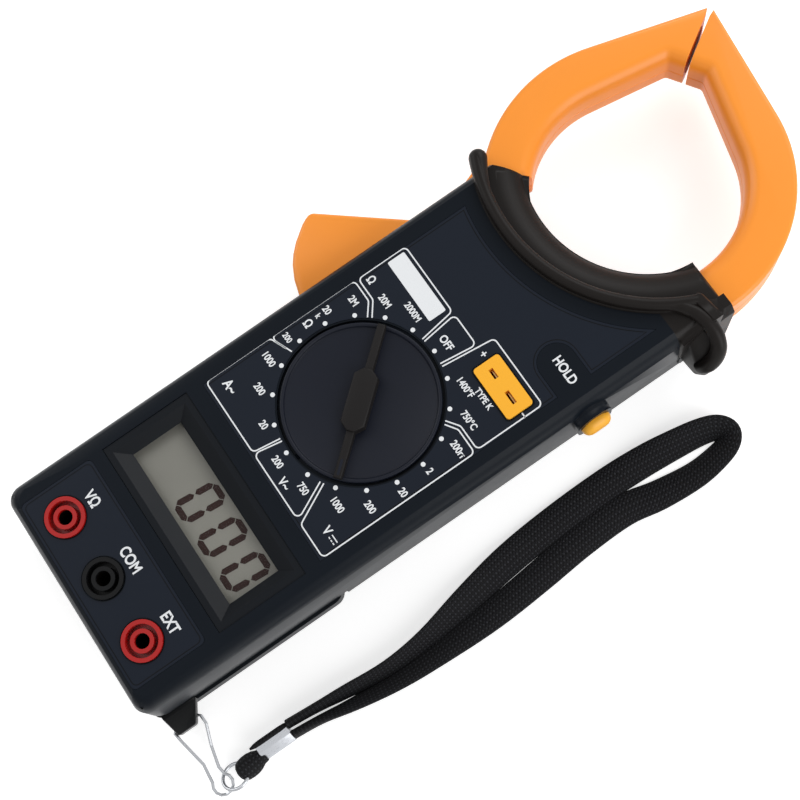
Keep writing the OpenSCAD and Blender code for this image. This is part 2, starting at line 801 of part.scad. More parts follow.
module board_capacitors() {
    color([0.2, 0.25, 0.5])
    for (p = [[24, 4], [24, 16], [-20, -24]])
        translate([p[0], p[1], board_z - 8]) cylinder(r = 2.5, h = 8);
}

module trimmers() {
    color([0.15, 0.35, 0.7])
    for (p = [[4, 26], [12, 26]])
        translate([p[0], p[1], board_z - 4.4])
            difference() {
                translate([-3, -3, 0]) cube([6, 6, 4.4]);
                translate([-1.4, -0.3, -cut]) cube([2.8, 0.6, cut + 0.6]);
            }
}

// Heavy wire bridge between the common and the extra jack
module current_shunt() {
    color(brass)
    translate([0, jack_y + 14.7, board_z - 1.8]) {
        for (x = [0, jack_pitch])
            translate([x, 0, 0]) cylinder(r = 0.6, h = 1.8);
        translate([0, 0, 0.6]) rotate([0, 90, 0]) cylinder(r = 0.6, h = jack_pitch);
    }
}

module buzzer() {
    color([0.1, 0.1, 0.1])
    translate([-15, -30, 0]) {
        translate([0, 0, board_top])
            difference() {
                cylinder(r = 6.5, h = 4.5);
                translate([0, 0, 3]) cylinder(r = 1, h = 9);
            }
    }
}

// ---------------------------------------------------------------- jacks and sockets

// One jack: two raised rings with a groove between them, and a collar inside the face
module jack(i, tint) {
    color(tint)
    translate([i * jack_pitch, jack_y, 0])
        difference() {
            union() {
                translate([0, 0, sleeve_z0 + 4])
                    cylinder(r = sleeve_r + 1.3, h = face_z + 0.2 - sleeve_z0 - 4);
                translate([0, 0, roof_z - 4]) cylinder(r = jack_ring_r, h = face_z + 0.6 - roof_z + 4);
                translate([0, 0, roof_z - 2]) cylinder(r = jack_ring_r + 1.4, h = 1.9);
            }
            difference() {
                translate([0, 0, face_z - 3]) cylinder(r = jack_ring_r - 1.1, h = 9);
                translate([0, 0, face_z - 4]) cylinder(r = jack_r + 1.1, h = 9);
            }
            translate([0, 0, face_z + 0.2]) cylinder(r = jack_ring_r - 1.1, h = 9);
            cylinder(r = sleeve_r, h = face_z - 1);
            cylinder(r = jack_r, h = 60);
        }
}

module jack_volt_ohm() { jack(-1, [0.78, 0.1, 0.08]); }
module jack_common() { jack(0, [0.07, 0.07, 0.08]); }
module jack_extra() { jack(1, [0.78, 0.1, 0.08]); }

module jack_sleeves() {
    color(brass)
    for (i = [-1:1])
        translate([i * jack_pitch, jack_y, 0])
            difference() {
                translate([0, 0, sleeve_z0]) cylinder(r = sleeve_r, h = face_z - 1 - sleeve_z0);
                translate([0, 0, sleeve_z0 + 1]) cylinder(r = jack_r, h = 60);
            }
}

module thermocouple_socket() {
    color([0.96, 0.72, 0.16])
    translate([socket_x, socket_y, 0])
        difference() {
            union() {
                translate([0, 0, board_top])
                    linear_extrude(face_z + 0.6 - board_top) round_rect(socket_w, socket_h, 0.9);
                translate([0, 0, roof_z - 1.6])
                    linear_extrude(1.5) round_rect(socket_w + 2.4, socket_h + 2.4, 1);
            }
            translate([-5.6, -0.6, board_top + 2]) cube([2.9, 1.2, 40]);
            translate([1.5, -0.6, board_top + 2]) cube([3.8, 1.2, 40]);
        }
}

module thermocouple_contacts() {
    color(brass)
    translate([socket_x, socket_y, board_top + 2]) {
        translate([-5.4, 0.2, 0]) cube([2.5, 0.3, 5]);
        translate([1.7, 0.2, 0]) cube([3.4, 0.3, 5]);
    }
}

// ---------------------------------------------------------------- rotary switch

module knob() {
    color([0.09, 0.1, 0.12])
    rotate([0, 0, pointer_at]) {
        difference() {
            union() {
                translate([0, 0, recess_z + 0.1]) cylinder(r = knob_r, h = face_z - recess_z - 0.2);
                translate([0, 0, carrier_z1]) cylinder(r = hub_r, h = recess_z + 0.2 - carrier_z1);
                // Pointer bar: narrow to the rim, with a wider grip in the middle
                linear_bar(knob_r * 2 - 0.6, 2.9, face_z + pointer_h - 0.8);
                linear_bar(19, 6.6, face_z + pointer_h);
            }
            translate([0, 0, carrier_z1 - cut]) cylinder(r = thread_r + thread_fit, h = 4);
        }
        // Thin rim round the disc
        translate([0, 0, face_z - 0.12])
            difference() {
                cylinder(r = knob_r, h = 0.3);
                translate([0, 0, -cut]) cylinder(r = knob_r - 0.8, h = 3);
            }
    }
}

// A tapering bar across the knob, from the disc up to the height z1
module linear_bar(length, width, z1) {
    hull() {
        translate([-length / 2 + 1.5, -width / 2, recess_z + 0.5]) cube([length - 3, width, 0.1]);
        translate([-length / 2, -width / 2 + 0.9, recess_z + 0.5]) cube([length, width - 1.8, 0.1]);
        translate([-length / 2 + 2.2, -width / 2 + 0.7, z1 - 0.1]) cube([length - 4.4, width - 1.4, 0.1]);
    }
}

module knob_carrier() {
    color([0.8, 0.8, 0.78])
    rotate([0, 0, pointer_at])
        difference() {
            translate([0, 0, carrier_z0]) cylinder(r = carrier_r, h = carrier_z1 - carrier_z0);
            for (a = [0, 180])
                rotate([0, 0, a])
                    translate([carrier_r - 6, 0, (carrier_z0 + carrier_z1) / 2])
                        rotate([0, 90, 0]) cylinder(r = ball_r + 0.1, h = 9);
            translate([0, 0, carrier_z0 - cut]) cylinder(r = thread_r + thread_fit, h = 9);
            translate([0, 0, carrier_z0 - cut]) cylinder(r = 2.5, h = cut + 1);
        }
}

// Bent contact springs that slide on the board's tracks
module knob_wipers() {
    color(brass)
    rotate([0, 0, pointer_at])
        for (i = [0:2])
            rotate([0, 0, 40 + 100 * i])
                translate([6 + 3 * i, 0, 0]) {
                    translate([-1, -3, carrier_z0 - 0.3]) cube([2, 6, 0.3]);
                    translate([-1, -3.3, board_top + 0.25]) cube([2, 0.3, carrier_z0 - board_top - 0.25]);
                    translate([-1, -3.3, board_top + 0.25]) cube([2, 3, 0.3]);
                }
}

module knob_screw() {
    color(bright_steel)
    screw(carrier_z0 - 0.3, carrier_z1 + 2.6, head = 2.3, head_h = 1.2);
}

module detent_springs() {
    color(bright_steel)
    rotate([0, 0, pointer_at])
        for (a = [0, 180])
            rotate([0, 0, a])
                translate([carrier_r - 6, 0, (carrier_z0 + carrier_z1) / 2])
                    rotate([0, 90, 0]) coil_spring(1, 0.2, 5, 6 - ball_r - 0.1);
}

module detent_balls() {
    color(bright_steel)
    rotate([0, 0, pointer_at])
        for (a = [0, 180])
            rotate([0, 0, a]) translate([ball_at, 0, (carrier_z0 + carrier_z1) / 2]) sphere(r = ball_r);
}

// ---------------------------------------------------------------- hold button

module hold_button() {
    color([0.98, 0.7, 0.16])
    union() {
        on_right_wall(half_w - 2.6) linear_extrude(hold_out + 2.6) hold_outline();
        on_right_wall(half_w - wall - 2.4) linear_extrude(1.2) hold_outline(1.2);
        on_right_wall(half_w - 10.1 + hold_travel) linear_extrude(8.1 - hold_travel) circle(r = 1.2);
    }
}

module hold_spring() {
    color(bright_steel)
    on_right_wall(half_w - 10.1) coil_spring(1.9, 0.22, 5, 10 - wall - 2.4);
}

module hold_switch() {
    color([0.15, 0.15, 0.16])
    union() {
        translate([half_w - 14.2, hold_y - 4, hold_z - 3]) cube([4, 8, board_top + 4 - hold_z + 3]);
        translate([half_w - 14.2, hold_y - 8, board_top]) cube([4, 8, 1.5]);
    }
}

// ---------------------------------------------------------------- battery

module battery() {
    color([0.25, 0.27, 0.3])
    translate([0, cell_y, cell_z + cell[2] / 2])
        rotate([0, 90, 0]) linear_extrude(cell[0] - 3, center = true) round_rect(cell[2], cell[1], 2);
}

module battery_terminals() {
    color(bright_steel)
    for (s = [-1, 1])
        translate([cell[0] / 2 - 1.5, cell_y + s * 6.35, cell_z + cell[2] / 2])
            rotate([0, 90, 0]) cylinder(r = s < 0 ? 2.8 : 3.6, h = 2);
}

module battery_snap() {
    color([0.08, 0.08, 0.08])
    translate([cell[0] / 2 - 1.3, cell_y, cell_z + cell[2] / 2])
        rotate([0, 90, 0])
            difference() {
                linear_extrude(3.6) round_rect(12, 24, 3);
                for (s = [-1, 1])
                    translate([0, s * 6.35, -cut]) cylinder(r = 3.8, h = cut + 2);
            }
}

// Two insulated wires from the snap to the board, held all the way
module battery_leads() {
    z0 = cell_z + cell[2] / 2 + 6.1;
    color([0.7, 0.1, 0.1])
    for (s = [-1, 1])
        translate([cell[0] / 2 + 0.4, cell_y + s * 4, z0])
            cylinder(r = 0.6, h = board_z - z0);
}

// ---------------------------------------------------------------- jaws

// The opening inside the closed jaws, drawn out by an offset: a circle that runs out to a flat end
module jaw_bore(offset) {
    r = bore_r + offset;
    corner = [notch_r + offset, notch_w + 0.45 * offset];
    touch = atan(corner[1] / corner[0]) + acos(r / norm(corner));
    circle(r = r, $fn = 96);
    rotate([0, 0, jaw_lean])
        polygon([[0, 0], (r - blend) * [cos(touch), -sin(touch)], [corner[0], -corner[1]], corner,
            (r - blend) * [cos(touch), sin(touch)]]);
}

// Both jaws' outline, seen from the front and drawn in by an inset
module jaw_ring(inset) {
    r = ring_out - inset;
    reach = tip_reach - 1.4 * inset;
    touch = acos(r / reach);
    difference() {
        union() {
            circle(r = r, $fn = 96);
            rotate([0, 0, jaw_lean])
                polygon([[0, 0], (r - blend) * [cos(touch), -sin(touch)], [reach - 1, -0.9],
                    [reach - 1, 0.9], (r - blend) * [cos(touch), sin(touch)]]);
        }
        jaw_bore(inset);
    }
}

// Half of the ring: from one direction to another
module jaw_half(from, to, inset = 0) {
    intersection() {
        jaw_ring(inset);
        sector(120, from, to);
    }
}

module split_gap() {
    rotate([0, 0, jaw_lean]) translate([0, -jaw_gap / 2]) square([99, jaw_gap]);
    rotate([0, 0, low_split]) translate([0, -jaw_gap / 2]) square([99, jaw_gap]);
}

module moving_outline() {
    difference() {
        at_ring() jaw_half(jaw_lean, low_split);
        at_ring() split_gap();
    }
}

// Lever from the ring past the pivot to the trigger
module lever_outline() {
    arm = [[-0.8, 10], [6.5, 3], [5.5, -4], [2.8, -14], [-2, -26], [-4.8, -37], [-5.6, -47]];
    back = [[-8, -47.4], [-15.4, -45.2], [-21, -41], [-25.6, -34.8]];
    front = [[-7.4, -9.2], [-7, 2], [-11, 13]];
    tip = [tip_x - pivot_x, tip_y - pivot_y];
    translate([pivot_x, pivot_y]) {
        polygon(concat(arm, back, [tip + [0.4, -1.8], tip + [0.7, 1.6]], front));
        circle(r = boss_r);
    }
}

module fixed_outline() {
    at_ring()
        difference() {
            union() {
                jaw_half(low_split - 360, jaw_lean);
                for (a = jaw_ear_at)
                    rotate([0, 0, a]) {
                        translate([ear_reach, 0]) circle(r = ear_r);
                        translate([ring_out - 3, -ear_r]) square([5, 2 * ear_r]);
                    }
            }
            split_gap();
        }
}

// Channel that holds a core, and the wider stretch that holds its coil
module core_channel(from, to, coil_from, coil_to) {
    at_ring() {
        translate([0, 0, jaw_mid - core_h / 2 - 0.2])
            linear_extrude(core_h + 0.4) jaw_half(from - 2, to + 2, core_inset - 0.2);
        rotate([0, 0, coil_from - 0.4])
            rotate_extrude(angle = coil_to - coil_from + 0.8, $fn = 96)
                translate([core_r - core_w / 2 - coil_t - 0.1, jaw_mid - core_h / 2 - coil_t - 0.1])
                    square([core_w + 2 * coil_t + 0.2, core_h + 2 * coil_t + 0.2]);
    }
}

module core(from, to) {
    color([0.4, 0.42, 0.45])
    at_ring()
        difference() {
            translate([0, 0, jaw_mid - core_h / 2]) linear_extrude(core_h) jaw_half(from, to, core_inset);
            translate([0, 0, jaw_mid - 10]) linear_extrude(20) split_gap();
        }
}

module coil(from, to) {
    color([0.72, 0.4, 0.2])
    at_ring()
        rotate([0, 0, from])
            rotate_extrude(angle = to - from, $fn = 96)
                difference() {
                    translate([core_r - core_w / 2 - coil_t, jaw_mid - core_h / 2 - coil_t])
                        square([core_w + 2 * coil_t, core_h + 2 * coil_t]);
                    translate([core_r - core_w / 2 - coil_fit, jaw_mid - core_h / 2 - coil_fit])
                        square([core_w + 2 * coil_fit, core_h + 2 * coil_fit]);
                }
}

moving_coil_at = [205, 238];
fixed_coil_at = [-72, -30];

module moving_jaw(z0, z1, lever_z1) {
    color(jaw_orange)
    difference() {
        union() {
            translate([0, 0, z0]) linear_extrude(z1 - z0) moving_outline();
            translate([0, 0, z0]) linear_extrude(lever_z1 - z0) lever_outline();
        }
        // Inside the ring the lever ends at the bore, which is a little wider where the case covers it
        at_ring() translate([0, 0, z0 - cut]) cylinder(r = bore_r, h = jaw_h + 2 * cut, $fn = 96);
        at_ring()
            rotate([0, 0, low_split - 44])
                rotate_extrude(angle = 50, $fn = 96)
                    translate([bore_r - 9, z0 - cut]) square([9 + bore_relief, jaw_h + 2 * cut]);
        core_channel(jaw_lean, low_split, moving_coil_at[0], moving_coil_at[1]);
        at_pivot() cylinder(r = pin_r + pin_fit, h = 60);
        // Pocket of the return spring round the pivot
        at_pivot() translate([0, 0, jaw_mid - 2.6]) cylinder(r = pin_r + 2.6, h = 5.2);
        translate([0, 0, -cut]) linear_extrude(60) translate([ring_x, ring_y]) split_gap();
    }
}

module moving_jaw_front() { moving_jaw(jaw_mid, jaw_top, lever_top); }
module moving_jaw_rear() { moving_jaw(jaw_z, jaw_mid, jaw_mid); }
module moving_core() { core(jaw_lean + 0.5, low_split); }
module moving_coil() { coil(moving_coil_at[0], moving_coil_at[1]); }

module fixed_jaw(z0, z1) {
    color(jaw_orange)
    difference() {
        translate([0, 0, z0]) linear_extrude(z1 - z0) fixed_outline();
        core_channel(low_split - 360, jaw_lean, fixed_coil_at[0], fixed_coil_at[1]);
        for (a = jaw_ear_at)
            at_ring() rotate([0, 0, a]) translate([ear_reach, 0, 0]) {
                cylinder(r = thread_r + 0.3, h = 60);
                translate([0, 0, jaw_z + 3]) cylinder(r = head_r + 0.3, h = 60);
            }
    }
}

module fixed_jaw_front() { fixed_jaw(jaw_mid, jaw_top); }
module fixed_jaw_rear() { fixed_jaw(jaw_z, jaw_mid); }
module fixed_core() { core(low_split - 360, jaw_lean - 0.5); }
module fixed_coil() { coil(fixed_coil_at[0], fixed_coil_at[1]); }

module jaw_screws() {
    color(bright_steel)
    for (a = jaw_ear_at)
        at_ring() rotate([0, 0, a]) translate([ear_reach, 0, jaw_z + 5])
            mirror([0, 0, 1]) screw(0, 10, head_h = 2);
}

module jaw_pivot_pin() {
    color(bright_steel)
    at_pivot() translate([0, 0, wall]) cylinder(r = pin_r, h = roof_z - 1 - wall);
}

// Torsion spring round the pivot pin
module jaw_return_spring() {
    color(bright_steel)
    at_pivot() translate([0, 0, jaw_mid - 2.2]) coil_spring(pin_r + 1.4, 0.45, 3, 4.4);
}

// ---------------------------------------------------------------- strap

// Steel wire ring: a straight stretch in the lug, two legs and a round end
module wire_ring() {
    far = [57, -87.1, split_z];
    eye = 2.8;
    span = far[0] - lug_x;
    path = concat(
        [[lug_x, lug_y + 2, lug_z], [lug_x, lug_y - leg + 0.5, lug_z], [lug_x + 0.5, lug_y - leg, lug_z],
            [lug_x + 0.16 * span, lug_y - leg + 0.3, lug_z - 0.3], [lug_x + 0.62 * span, -88.6, 3.2],
            [lug_x + 0.785 * span, -89, 2.9]],
        [for (a = [-130:30:140]) [far[0] + eye * cos(a), far[1] + eye * sin(a), far[2]]],
        [[lug_x + 0.765 * span, -85.6, 2.9], [lug_x + 0.46 * span, -84.2, 3.4],
            [lug_x + 0.16 * span, lug_y + leg, lug_z - 0.3],
            [lug_x + 0.5, lug_y + leg, lug_z], [lug_x, lug_y + leg - 0.5, lug_z],
            [lug_x, lug_y + 2.2, lug_z]]);
    color(bright_steel)
    tube_of([for (i = [0:len(path) - 1]) ring_at(path, i, wire_r, wire_r, 0, 8)]);
}

// The points of one ring of a tube: an oval across the path at its point i, turned by a roll
function unit(v) = v / norm(v);
function ring_at(path, i, r1, r2, roll, sides) =
    let (a = path[max(i - 1, 0)], b = path[min(i + 1, len(path) - 1)],
        t = unit(b - a), s = unit(cross([0, 0, 1], t)), u = cross(t, s))
    [for (j = [0:sides - 1]) let (g = -j * 360 / sides, p = r1 * cos(g), q = r2 * sin(g))
        path[i] + (p * cos(roll) - q * sin(roll)) * s + (p * sin(roll) + q * cos(roll)) * u];

module split_ring() {
    color(bright_steel)
    translate([split_x, split_y, split_z])
        rotate([0, -split_tilt, 0])
            rotate_extrude($fn = 48) translate([split_r, 0]) circle(r = 0.5);
}

// Braid folded round the split ring, with both legs in the ferrule
module strap_end_loop() {
    color([0.06, 0.06, 0.07])
    translate([split_x - 1.7, 0, split_z])
        rotate([90, 0, 90])
            linear_extrude(3.4)
                difference() {
                    union() {
                        translate([loop_y, 0]) circle(r = 2.6);
                        translate([loop_y, -2.6]) square([ferrule_y0 - loop_y, 5.2]);
                    }
                    translate([loop_y, 0]) circle(r = 1.8);
                    translate([loop_y, -1.8]) square([2.6, 3.6]);
                }
}

module strap_ferrule() {
    color([0.85, 0.86, 0.88])
    translate([ferrule_x + 0.6, ferrule_y0, split_z])
        rotate([-90, 0, 0])
            linear_extrude(ferrule_y1 - ferrule_y0) round_rect(5, 4.8, 1.2);
}

function strap_height(roll) = norm([strap_w / 2 * sin(roll), strap_t / 2 * cos(roll)]) + 0.05;
strap_path = [for (p = strap_route) [p[0], p[1], strap_height(p[2])]];

module wrist_strap() {
    color([0.06, 0.06, 0.07])
    tube_of([for (i = [0:len(strap_path) - 1])
        ring_at(strap_path, i, strap_w / 2, strap_t / 2, strap_route[i][2], 10)]);
}

front_case();
jack_end();
jaw_shroud();
rear_case();
battery_cover();
battery_cover_screw();
case_screws();
dial_label();
jack_label();
lcd_bezel();
lcd_window();
lcd_glass();
lcd_carrier();
zebra_strips();
main_board();
board_screws();
board_chips();
board_capacitors();
trimmers();
current_shunt();
buzzer();
jack_volt_ohm();
jack_common();
jack_extra();
jack_sleeves();
thermocouple_socket();
thermocouple_contacts();
knob();
knob_carrier();
knob_wipers();
knob_screw();
detent_springs();
detent_balls();
hold_button();
hold_spring();
hold_switch();
battery();
battery_terminals();
battery_snap();
battery_leads();
jaw_pivot_pin();
jaw_return_spring();
moving_jaw_front();
moving_jaw_rear();
moving_core();
moving_coil();
fixed_jaw_front();
fixed_jaw_rear();
fixed_core();
fixed_coil();
jaw_screws();
wire_ring();
split_ring();
strap_end_loop();
strap_ferrule();
wrist_strap();
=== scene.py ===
# %% [markdown]
# # A clamp meter on a white floor
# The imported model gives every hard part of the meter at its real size. This scene keeps those parts in place and
# adds rounded plastic, print, a display, a woven strap and the light. All lengths are in metres.

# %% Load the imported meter
import math

import bmesh
import bpy
from mathutils import Matrix, Vector


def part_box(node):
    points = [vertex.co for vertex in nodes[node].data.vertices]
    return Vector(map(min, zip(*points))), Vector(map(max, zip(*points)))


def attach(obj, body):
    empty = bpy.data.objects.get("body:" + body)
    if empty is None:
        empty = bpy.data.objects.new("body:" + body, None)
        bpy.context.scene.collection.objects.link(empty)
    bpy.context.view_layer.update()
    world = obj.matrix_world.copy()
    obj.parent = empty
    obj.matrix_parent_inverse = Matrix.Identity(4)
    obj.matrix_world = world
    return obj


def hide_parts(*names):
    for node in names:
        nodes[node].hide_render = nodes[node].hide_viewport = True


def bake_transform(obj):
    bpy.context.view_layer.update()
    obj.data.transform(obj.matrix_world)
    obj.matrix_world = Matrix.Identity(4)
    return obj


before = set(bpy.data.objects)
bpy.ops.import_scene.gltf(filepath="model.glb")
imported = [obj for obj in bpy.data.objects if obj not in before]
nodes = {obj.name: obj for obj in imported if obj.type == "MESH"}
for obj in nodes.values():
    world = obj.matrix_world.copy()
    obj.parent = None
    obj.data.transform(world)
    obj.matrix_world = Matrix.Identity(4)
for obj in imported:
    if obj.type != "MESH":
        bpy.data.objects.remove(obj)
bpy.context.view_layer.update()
MM = 0.001


def put(name, data):
    """A new object in the scene."""
    thing = bpy.data.objects.new(name, data)
    bpy.context.scene.collection.objects.link(thing)
    return thing



# %% [markdown]
# ## The camera
# The meter is seen from above and a little from its right, and its length runs across the frame. A constraint
# could aim the camera, but a plain matrix is exact: its columns are the directions right, up and back.

# %% Camera
camera_right = Vector((0.55865, 0.82328, -0.10045))
camera_up = Vector((-0.79719, 0.56643, 0.20885))
camera_back = camera_right.cross(camera_up)
camera_place = Vector((0.09238, -0.00538, 0.40285))

camera_data = bpy.data.cameras.new("camera")
camera_data.lens = 67.06
camera_data.sensor_width = 36.0
camera_data.clip_start = 0.01
camera = put("camera", camera_data)
camera.matrix_world = Matrix.Translation(camera_place) @ Matrix(
    (camera_right, camera_up, camera_back)).transposed().to_4x4()
bpy.context.scene.camera = camera
print("camera is", round(camera_place.z, 3), "m above the floor")

# %% [markdown]
# ## Helpers for pieces
# Each piece is a mesh whose object stays at the origin, so its place is in its points. Smooth shading has a limit
# on the angle, so edges stay crisp.

# %% Helpers for pieces
def add_piece(name, bm, body="root", material=None, smooth=35):
    """Turn a bmesh into an object that rides on a body."""
    mesh = bpy.data.meshes.new(name)
    bm.to_mesh(mesh)
    bm.free()
    piece = put(name, mesh)
    if material:
        mesh.materials.append(material)
    mesh.shade_smooth()
    mesh.set_sharp_from_angle(angle=math.radians(smooth))
    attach(piece, body)
    return piece


def vec(x, y, z=0.0):
    """A point given in millimetres."""
    return Vector((x, y, z)) * MM


# %% [markdown]
# ## The wrist strap
# The strap is one flat braided cord, folded once: it leaves the ferrule, turns back near the jaws and returns
# into the ferrule. It lies flat in places and stands on its edge in others, so each point of its route has a
# roll. A curve could carry a profile, but then the weave has no clean coordinates, so the strap is swept as a
# tube of rings, with UVs that count the length and the way round.

# %% The strap's route
STRAP_WIDE, STRAP_THICK = 6.9, 2.6
SPREAD, THINNED, LIFT = 1.0, 0.2, 0.05
# x and y in millimetres, and the roll in degrees: 0 lies flat, 90 stands on edge
STRAP_ROUTE = [
    (53.8, -64.15, 90), (54.5, -56, 84), (55.5, -47, 70), (56.9, -34, 60), (56.2, -21, 50), (53.6, -6, 30),
    (51.1, 10, 12), (49.9, 26, 5), (49.6, 42, 5), (50.2, 54, 14), (51.4, 64, 26), (52.6, 71, 34), (54.2, 75.2, 40),
    (56.8, 76.9, 42), (59.2, 75.2, 40), (60.5, 71, 34), (61.2, 63, 26), (60.0, 52, 14), (58.0, 42, 5),
    (58.2, 28, 5), (59.6, 13, 10), (60.9, -3, 20), (61.3, -19, 36), (61.0, -33, 48), (59.5, -46, 62),
    (57.8, -56, 80), (57, -64.15, 90)]


def strap_half(roll):
    """Half width and half thickness: the braid spreads where it lies flat."""
    flat = math.cos(math.radians(roll)) ** 2
    return STRAP_WIDE / 2 + SPREAD * flat, STRAP_THICK / 2 - THINNED * flat


def strap_station(x, y, roll):
    """Centre of the strap, just high enough that its oval section touches the floor."""
    wide, thick = strap_half(roll)
    height = math.hypot(wide * math.sin(math.radians(roll)), thick * math.cos(math.radians(roll)))
    return Vector((x, y, height + LIFT)), roll, wide, thick


def smooth_route(route, steps):
    """Pass a Catmull-Rom curve through the route, with so many steps between its points."""
    out = []
    for i in range(len(route) - 1):
        a, b, c, d = (Vector(route[max(0, min(len(route) - 1, i + k))]) for k in (-1, 0, 1, 2))
        for s in range(steps):
            t = s / steps
            out.append(0.5 * (2 * b + (c - a) * t + (2 * a - 5 * b + 4 * c - d) * t * t
                              + (3 * b - a - 3 * c + d) * t ** 3))
    return out + [Vector(route[-1])]


def sweep(stations, sides, name):
    """A tube of oval rings along stations of (centre, roll, half width, half thickness), with UVs in metres."""
    bm = bmesh.new()
    uv = bm.loops.layers.uv.new("UVMap")
    rings, along = [], [0.0]
    for i, (centre, roll, wide, thick) in enumerate(stations):
        before, after = stations[max(i - 1, 0)][0], stations[min(i + 1, len(stations) - 1)][0]
        forward = (after - before).normalized()
        side = Vector((0, 0, 1)).cross(forward).normalized()
        up = forward.cross(side)
        turn = math.radians(roll)
        ring = []
        for j in range(sides):
            angle = -2 * math.pi * j / sides
            p, q = wide * math.cos(angle), thick * math.sin(angle)
            ring.append(bm.verts.new((centre + (p * math.cos(turn) - q * math.sin(turn)) * side
                                      + (p * math.sin(turn) + q * math.cos(turn)) * up) * MM))
        rings.append(ring)
        if i:
            along.append(along[-1] + (centre - stations[i - 1][0]).length * MM)
    girth = math.pi * (stations[0][2] + stations[0][3]) * MM
    for i in range(len(rings) - 1):
        for j in range(sides):
            k = (j + 1) % sides
            face = bm.faces.new((rings[i][j], rings[i][k], rings[i + 1][k], rings[i + 1][j]))
            corners = ((i, j), (i, j + 1), (i + 1, j + 1), (i + 1, j))
            for loop, (row, column) in zip(face.loops, corners):
                loop[uv].uv = (along[row], girth * column / sides)
    bm.faces.new(list(reversed(rings[0])))
    bm.faces.new(rings[-1])
    bmesh.ops.recalc_face_normals(bm, faces=bm.faces)
    print(name, "is", round(along[-1], 4), "m long")
    return bm, along[-1]


strap_stations = [strap_station(*point) for point in smooth_route(STRAP_ROUTE, 5)]
strap_mesh, strap_length = sweep(strap_stations, 24, "strap")
strap = add_piece("wrist_strap_braid", strap_mesh, "strap", smooth=60)
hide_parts("wrist_strap")

# %% [markdown]
# ## Shared effects
# Moulded plastic is never quite even, so one node group adds two effects to every plastic here: a fine grain
# from the mould's spark-eroded skin, and a faint cloudiness where hands have polished it. Both read Object
# coordinates, which are metres, so the grain keeps its real size.

# %% Shared effects
def fill(tree, node, values):
    """Give a node's inputs their values: a socket is linked, anything else is set."""
    for name, value in values.items():
        if isinstance(value, bpy.types.NodeSocket):
            tree.links.new(value, node.inputs[name])
        else:
            node.inputs[name].default_value = value
    return node


def math_node(tree, operation, a, b, clamp=False):
    """A Math node fed by sockets or plain numbers; returns its output."""
    node = tree.nodes.new("ShaderNodeMath")
    node.operation, node.use_clamp = operation, clamp
    return fill(tree, node, {0: a, 1: b}).outputs[0]


def scaled(tree, value, factor, offset, clamp=False):
    """value times factor, plus offset."""
    return math_node(tree, "ADD", math_node(tree, "MULTIPLY", value, factor), offset, clamp)


def noise(tree, vector, scale, detail=3.0, roughness=0.55):
    """A Noise texture on some coordinates; scale may be a socket."""
    values = {"Vector": vector, "Scale": scale, "Detail": detail, "Roughness": roughness}
    return fill(tree, tree.nodes.new("ShaderNodeTexNoise"), values).outputs["Fac"]


def object_coords(tree):
    return tree.nodes.new("ShaderNodeTexCoord").outputs["Object"]


def bumped(tree, height, strength, distance):
    """A normal that follows a height."""
    values = {"Height": height, "Strength": strength, "Distance": distance}
    return fill(tree, tree.nodes.new("ShaderNodeBump"), values).outputs["Normal"]


def make_skin_group():
    """Mould grain and hand polish: a colour, a roughness and a height that vary over the surface."""
    number, colour = "NodeSocketFloat", "NodeSocketColor"
    group = bpy.data.node_groups.new("moulded_skin", "ShaderNodeTree")
    for label, kind, value in (("Color", colour, (0.1, 0.1, 0.1, 1)), ("Roughness", number, 0.4),
                               ("Grain size", number, 4000.0), ("Cloudiness", number, 0.1)):
        group.interface.new_socket(name=label, in_out="INPUT", socket_type=kind).default_value = value
    for label, kind in (("Color", colour), ("Roughness", number), ("Height", number)):
        group.interface.new_socket(name=label, in_out="OUTPUT", socket_type=kind)
    start, end = group.nodes.new("NodeGroupInput"), group.nodes.new("NodeGroupOutput")
    coords = object_coords(group)
    grain = noise(group, coords, start.outputs["Grain size"], 2.0, 0.6)
    cloud = noise(group, coords, 55.0, 4.0, 0.6)
    centred = math_node(group, "SUBTRACT", cloud, 0.5)
    swing = math_node(group, "MULTIPLY", centred, start.outputs["Cloudiness"])
    rough = math_node(group, "ADD", start.outputs["Roughness"], swing, clamp=True)
    fine = math_node(group, "MULTIPLY", math_node(group, "SUBTRACT", grain, 0.5), 0.08)
    rough = math_node(group, "ADD", rough, fine, clamp=True)
    tint = group.nodes.new("ShaderNodeHueSaturation")
    fill(group, tint, {"Color": start.outputs["Color"], "Value": scaled(group, swing, 0.8, 1.0)})
    fill(group, end, {"Color": tint.outputs["Color"], "Roughness": rough, "Height": grain})
    return group


skin_group = make_skin_group()
print("shared effect:", skin_group.name)

# %% [markdown]
# ## Plastics
# Every moulded part gets the shared skin with its own colour, gloss and grain size. The grain on such a case is a
# few hundredths of a millimetre deep.

# %% Plastics
def new_material(name):
    material = bpy.data.materials.new(name)
    material.use_nodes = True
    return material, material.node_tree, material.node_tree.nodes["Principled BSDF"]


GRAIN_DEPTH = 0.00003


def plastic(name, colour, roughness, grain=3500.0, cloud=0.12, bump=0.15, gloss=0.5):
    """Moulded plastic with the shared skin."""
    material, tree, shader = new_material(name)
    skin = tree.nodes.new("ShaderNodeGroup")
    skin.node_tree = skin_group
    fill(tree, skin, {"Color": (*colour, 1), "Roughness": roughness, "Grain size": grain, "Cloudiness": cloud})
    fill(tree, shader, {
        "Base Color": skin.outputs["Color"], "Roughness": skin.outputs["Roughness"], "Specular IOR Level": gloss,
        "Normal": bumped(tree, skin.outputs["Height"], bump, GRAIN_DEPTH)})
    return material


